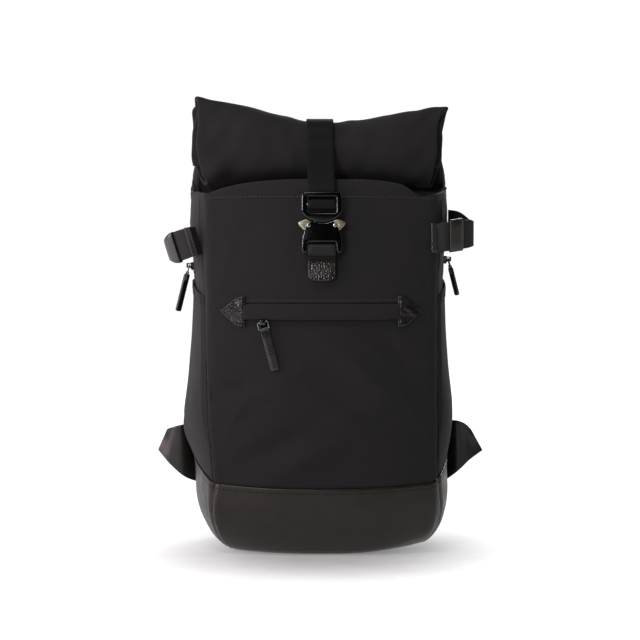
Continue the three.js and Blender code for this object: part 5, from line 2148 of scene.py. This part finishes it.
@dataclass
class SideLoop:
    """A slack loop of webbing on one upper side, with its leather tab and keeper."""

    side: Side
    path: tuple[Triple, ...]
    tab_edges: tuple[tuple[Triple, ...], ...]
    sewing: Sewing
    web_width: float = 30
    webbing: float = 1.8
    keeper_span: Pair = (0.14, 0.27)
    lean: float = 0.0
    taper: float = 0.14
    keeper_slack: float = 1.2
    keeper_wall: float = 1.6
    keeper_square: float = 0.4
    steps: int = 121

    def build(self) -> None:
        """Build the loop, the tab and the keeper."""
        sign, word = self.side.value, self.side.word
        mirror = np.array([sign, 1, 1])
        line = smooth_path(np.array(self.path) * mirror, self.steps, even=True)
        share = np.linspace(0, 1, self.steps)[:, None]
        narrowed = 1 - self.taper * bump(share - 0.5, 0.11)
        up = np.array([sign * math.sin(self.lean), 0, math.cos(self.lean)])
        u = (np.linspace(0, 1, 13) - 0.5)[:, None, None] * (sign * self.web_width * narrowed * up)[None]
        sheet = Sheet(line[None] + u, -self.webbing / 2, self.webbing / 2)
        fitted(f"Side_strap_{word}", sheet.form(), STRAP_WEBBING, Slot.WEBBING)
        edges = [smooth_path(np.array(edge) * mirror, 25) for edge in self.tab_edges]
        if sign < 0:
            edges.reverse()
        across = np.linspace(0, 1, 9)[:, None, None]
        tab = Sheet(lerp(edges[0][None], edges[1][None], across), 0.0, 2.0)
        fitted(f"Strap_tab_{word}", tab.form(), PLAIN_LEATHER, Slot.TRIM)
        rows = [tab.line(edge, np.linspace(0.06, 0.94, 20)) for edge in (0.25, 0.75)]
        self.sewing.sew(f"Stitches_strap_tab_{word}", rows, THREAD, Slot.TRIM, 2.6)
        self.keeper(line, up, narrowed[:, 0])

    def keeper(self, line: Array, up: Array, narrowed: Array) -> None:
        """The flat leather ring round the loop.

        Args:
            line: The loop's middle line.
            up: The way the webbing's width runs.
            narrowed: The share of its width that the webbing keeps along the line.
        """
        count = 11
        known = np.arange(len(line))
        place = np.linspace(*self.keeper_span, count) * (len(line) - 1)
        middle = read_along(line, known, place)
        away = unit(np.cross(unit(np.gradient(middle, axis=0)), up))
        turn = 2 * np.pi * np.linspace(0, 1, 96, endpoint=False)
        half = self.web_width / 2 * np.interp(place, known, narrowed) + self.keeper_slack
        crown = self.keeper_slack + 0.6 * np.sin(np.pi * np.linspace(0, 1, count))
        tall = half[None] * self.squared(np.cos(turn))[:, None]
        thick = (self.webbing / 2 + crown[None]) * self.squared(np.sin(turn))[:, None]
        grid = middle[None] + tall[..., None] * up + thick[..., None] * away[None]
        sheet = Sheet(grid, 0.0, self.keeper_wall, ring=True)
        fitted(f"Strap_keeper_{self.side.word}", sheet.form(), PLAIN_LEATHER, Slot.TRIM)

    def squared(self, value: Array) -> Array:
        """Draw a circle's share out towards a square's."""
        return np.sign(value) * np.abs(value) ** self.keeper_square


def left_loop(sewing: Sewing) -> SideLoop:
    """The left loop, narrowed and leaning where it turns.

    Args:
        sewing: Sews its tab.

    Returns:
        The loop.
    """
    return SideLoop(
        Side.LEFT,
        (
            (133.5, -53.5, 342.8), (141, -57, 341.6), (151, -55, 338), (162, -47, 334),
            (167.5, -38, 332.5), (164, -29, 334), (154, -14, 338), (144.2, 2, 341),
        ),
        (((135, -56.5, 327.5), (143.5, -59.5, 357)), ((140, -58.5, 327), (148.5, -59.5, 356))),
        sewing,
        keeper_span=(0.3, 0.44),
        lean=math.radians(17),
        taper=0.44,
    )


def right_loop(sewing: Sewing) -> SideLoop:
    """The right loop, its rear leg arched.

    Args:
        sewing: Sews its tab.

    Returns:
        The loop.
    """
    return SideLoop(
        Side.RIGHT,
        (
            (126.1, -65.3, 345.5), (139, -66.5, 347.5), (153, -62, 349.5), (164, -54, 350.5),
            (167.5, -45, 350.5), (164, -36, 351.5), (154, -18, 358.5), (144.7, 2, 360.5),
        ),
        (((120.6, -69.5, 331), (120.6, -66, 361)), ((125.2, -67.5, 331), (125.2, -64.5, 361))),
        sewing,
    )


@dataclass
class Carrying:
    """The wings, their webbing and the shoulder straps behind the bag."""

    skin: BagSkin
    sewing: Sewing
    wing_left: Edges = (
        ((140, 71, 63), (157, 59, 71.5), (172, 61, 85), (185, 71, 100)),
        ((146.3, 71, 129), (158, 59, 128.5), (167, 62, 126), (174, 71, 123)),
    )
    wing_right: Edges = (
        ((140, 71, 62), (157, 58, 76), (172, 63, 89), (187, 71, 98.5)),
        ((146.3, 71, 132), (158, 58, 133), (168, 64, 129), (175, 71, 122)),
    )
    wing_web: Edges = (
        ((185.3, 72.3, 100), (183, 91, 99), (158, 106, 106), (130, 110, 138), (110.3, 114.5, 184.2)),
        ((174.3, 72.3, 123), (171, 86, 121), (152, 99, 129), (140, 108, 158), (130.3, 114.5, 198.2)),
    )
    shoulder: Edges = (
        ((22, 81.1, 384), (22, 98, 381), (28, 117, 352), (44, 126, 296), (70, 124, 236), (110, 115, 185.5)),
        ((80, 81.1, 384), (81, 98, 379), (88, 117, 348), (102, 126, 300), (120, 122, 246), (130, 115, 199.5)),
    )

    def build(self) -> None:
        """Build both sides."""
        for side in Side:
            word = side.word
            edges = self.wing_right if side is Side.RIGHT else self.wing_left
            wing = self.band(side, edges, (33, 41), -1.3, 1.3)
            fitted(f"Wing_{word}", wing.form(), WING_LEATHER, Slot.TRIM)
            self.stitch_wing(side, wing)
            web = self.band(side, self.wing_web, (9, 121), -0.9, 0.9)
            fitted(f"Wing_webbing_{word}", web.form(), WEBBING, Slot.WEBBING)
            u = np.linspace(0, 1, 25)[:, None]
            crown = lerp(1.2, 4.2, np.sqrt(np.sin(np.pi * np.clip(u, 0, 1))))
            pad = self.band(side, self.shoulder, (25, 121), -crown, crown)
            piece = plumped(f"Shoulder_strap_{word}", pad.form(), PADDING, 1.2)
            fit(piece, Slot.PADDING, (f"shoulder_strap_{word}",))

    def band(
        self, side: Side, edges: Edges, cells: tuple[int, int],
        inner: Array | float, outer: Array | float,
    ) -> Sheet:
        """A band between two edges, given for the right side.

        Args:
            side: Which side it is for.
            edges: Points of its lower or inner edge and of the other one.
            cells: Columns and rows.
            inner: Offset of its inner face.
            outer: Offset of its outer face.

        Returns:
            The band.
        """
        curves = [smooth_path(np.array(edge) * np.array([side.value, 1, 1]), cells[1]) for edge in edges]
        if side is Side.LEFT:
            curves.reverse()
        grid = lerp(curves[0][None], curves[1][None], np.linspace(0, 1, cells[0])[:, None, None])
        grid[..., 0] += self.skin.lean(grid[..., 2])
        return Sheet(grid, inner, outer)

    def stitch_wing(self, side: Side, wing: Sheet) -> None:
        """Sew along a wing's edges and a box at its end.

        Args:
            side: Which side it is.
            wing: The wing.
        """
        edges = (0.06, 0.94)
        v, u = np.linspace(0.06, 0.95, 40), np.linspace(*edges, 30)
        rows = [wing.line(edge, v, face) for face in (True, False) for edge in edges]
        rows += [wing.line(u, edge, face) for face in (True, False) for edge in (0.7, 0.94)]
        self.sewing.sew(f"Stitches_wing_{side.word}", rows, THREAD, Slot.TRIM, 3.0)


# Studio


@dataclass
class Studio:
    """Camera, floor and soft light."""

    azimuth: float = -1.5
    elevation: float = 3
    distance: float = 2.5
    aim: Triple = (0.00045, 0.0, 0.253)
    lens: float = 125.55
    front_to_back: Pair = (0.03, 0.6)
    left_to_right: Pair = (1.2, 0.10)
    backdrop: float = 1.05
    floor_span: Pair = (-0.3, -0.9)
    floor_light: Pair = (0.40, 1.15)
    floor_reach: float = 30
    # Painted shadow under the bag: oval distances in metres, and the floor's glow to the eye at them.
    shadow: tuple[Pair, Pair] = ((0.04, 0.25), (0.2, 0.98))
    lamp_aim: Triple = (0, 0, 0.25)

    def camera(self) -> None:
        """Set the camera where the photograph was taken from."""
        turn, rise = math.radians(self.azimuth), math.radians(self.elevation)
        right = Vector((math.cos(turn), math.sin(turn), 0))
        target = right * self.aim[0] + Vector((0, 0, self.aim[2]))
        away = Vector((math.sin(turn) * math.cos(rise), -math.cos(turn) * math.cos(rise), math.sin(rise)))
        data = bpy.data.cameras.new("Camera")
        data.lens = self.lens
        data.sensor_width = 36
        data.clip_end = 50
        camera = link(bpy.data.objects.new("Camera", data))
        camera.location = target + away * self.distance
        camera.rotation_euler = (-away).to_track_quat("-Z", "Y").to_euler()
        bpy.context.scene.camera = camera

    def light(self) -> None:
        """Set up the floor, the world and the lamps."""
        scene = bpy.context.scene
        scene.view_settings.view_transform = "Standard"
        self.floor()
        self.world()
        self.lamp("Left_light", (-1.6, -0.4, 0.8), (0.9, 1.3), 16.5, (1.0, 0.76, 0.91))
        self.lamp("Right_light", (2.2, -0.4, 0.9), (1.0, 1.4), 3.0, (1.0, 1.0, 1.0))
        self.lamp("Top_light", (-0.4, -1.0, 2.2), (0.9, 0.7), 14, (0.98, 1.0, 0.99))
        self.lamp("Front_light", (-0.9, -2.0, 1.0), (0.35, 0.35), 13.5, (1.0, 0.99, 0.99))
        self.lamp("Back_light", (0.7, 2.3, 1.3), (1.2, 1.2), 26, (1.0, 1.0, 1.0))

    def lamp(
        self, name: str, at: Triple, size: Pair, power: float, colour: Colour
    ) -> None:
        """Set up a soft rectangular lamp that faces the bag.

        Args:
            name: Its name.
            at: Where it stands, in metres.
            size: Its width and height.
            power: Its power in watts.
            colour: The colour of its light.
        """
        data = bpy.data.lights.new(name, "AREA")
        data.shape = "RECTANGLE"
        data.size, data.size_y = size
        data.energy = power
        data.color = colour
        lamp = link(bpy.data.objects.new(name, data))
        lamp.location = at
        lamp.rotation_euler = (Vector(self.lamp_aim) - Vector(at)).to_track_quat("-Z", "Y").to_euler()

    def floor(self) -> None:
        """A wide pale floor, white to the eye except for a soft shadow under the bag that is painted into its
        glow.
        """
        mesh = bpy.data.meshes.new("Floor")
        corners = ((-1, -1), (1, -1), (1, 1), (-1, 1))
        points = [(x * self.floor_reach, y * self.floor_reach, 0) for x, y in corners]
        mesh.from_pydata(points, [], [(0, 1, 2, 3)])
        shader = Shader("Floor_White")
        grain = shader.between(shader.noise(40, 2), (0.33, 0.33, 0.33), (0.37, 0.37, 0.37))
        oval = {"Vector": shader.places("Object"), "Location": (0.0, 0.05, 0.0), "Scale": (0.95, 0.9, 1.0)}
        inside = shader.add("ShaderNodeMapping", oval).outputs[0]
        away = shader.add("ShaderNodeVectorMath", {0: inside}, operation="LENGTH").outputs["Value"]
        # Painted shadow: to the eye the floor glows less inside an oval under the bag.
        seen = shader.mapped(away, *self.shadow, interpolation_type="SMOOTHSTEP")
        eye = shader.add("ShaderNodeLightPath", {}).outputs["Is Camera Ray"]
        across = shader.add("ShaderNodeSeparateXYZ", {"Vector": shader.places("Object")}).outputs["X"]
        cast = shader.mapped(across, self.floor_span, self.floor_light)
        glow = shader.add("ShaderNodeMix", {"Factor": eye, "A": cast, "B": seen}).outputs[0]
        shader.feed(
            shader.surface,
            {
                "Base Color": grain,
                "Roughness": 0.9,
                "Specular IOR Level": 0.0,
                "Emission Color": (1, 1, 1, 1),
                "Emission Strength": glow,
            },
        )
        mesh.materials.append(shader.material)
        link(bpy.data.objects.new("Floor", mesh))

    def world(self) -> None:
        """White round the bag to the eye, dimmer in front of it as a source of light."""
        world = bpy.data.worlds.new("Studio")
        bpy.context.scene.world = world
        world.use_nodes = True
        wiring = Wiring(world.node_tree)
        place = wiring.add("ShaderNodeTexCoord", {}).outputs["Generated"]
        split = wiring.add("ShaderNodeSeparateXYZ", {0: place}).outputs
        depth = wiring.mapped(split["Y"], (-0.6, 0.8), self.front_to_back)
        width = wiring.mapped(split["X"], (-0.9, 0.9), self.left_to_right)
        cast = wiring.add("ShaderNodeMath", {0: depth, 1: width}, operation="MULTIPLY").outputs[0]
        eye = wiring.add("ShaderNodeLightPath", {}).outputs["Is Camera Ray"]
        seen = wiring.add("ShaderNodeMix", {"Factor": eye, "A": cast, "B": self.backdrop}).outputs[0]
        wiring.feed(world.node_tree.nodes["Background"], {"Color": (1, 1, 1, 1), "Strength": seen})


def main() -> None:
    """Build the backpack and its studio."""
    logging.basicConfig(level=logging.INFO, format="%(message)s")
    studio = Studio()
    studio.camera()
    skin, sewing = BagSkin(), Sewing()
    top = Top(skin, sewing)
    parts = (
        Foot(skin, sewing), Shell(skin, sewing), top, Closure(skin, top, sewing), Pockets(skin, sewing),
        left_loop(sewing), right_loop(sewing), Carrying(skin, sewing),
    )
    for part in parts:
        part.build()
        LOG.info("%s done", type(part).__name__)
    studio.light()


if __name__ == "__main__":
    main()
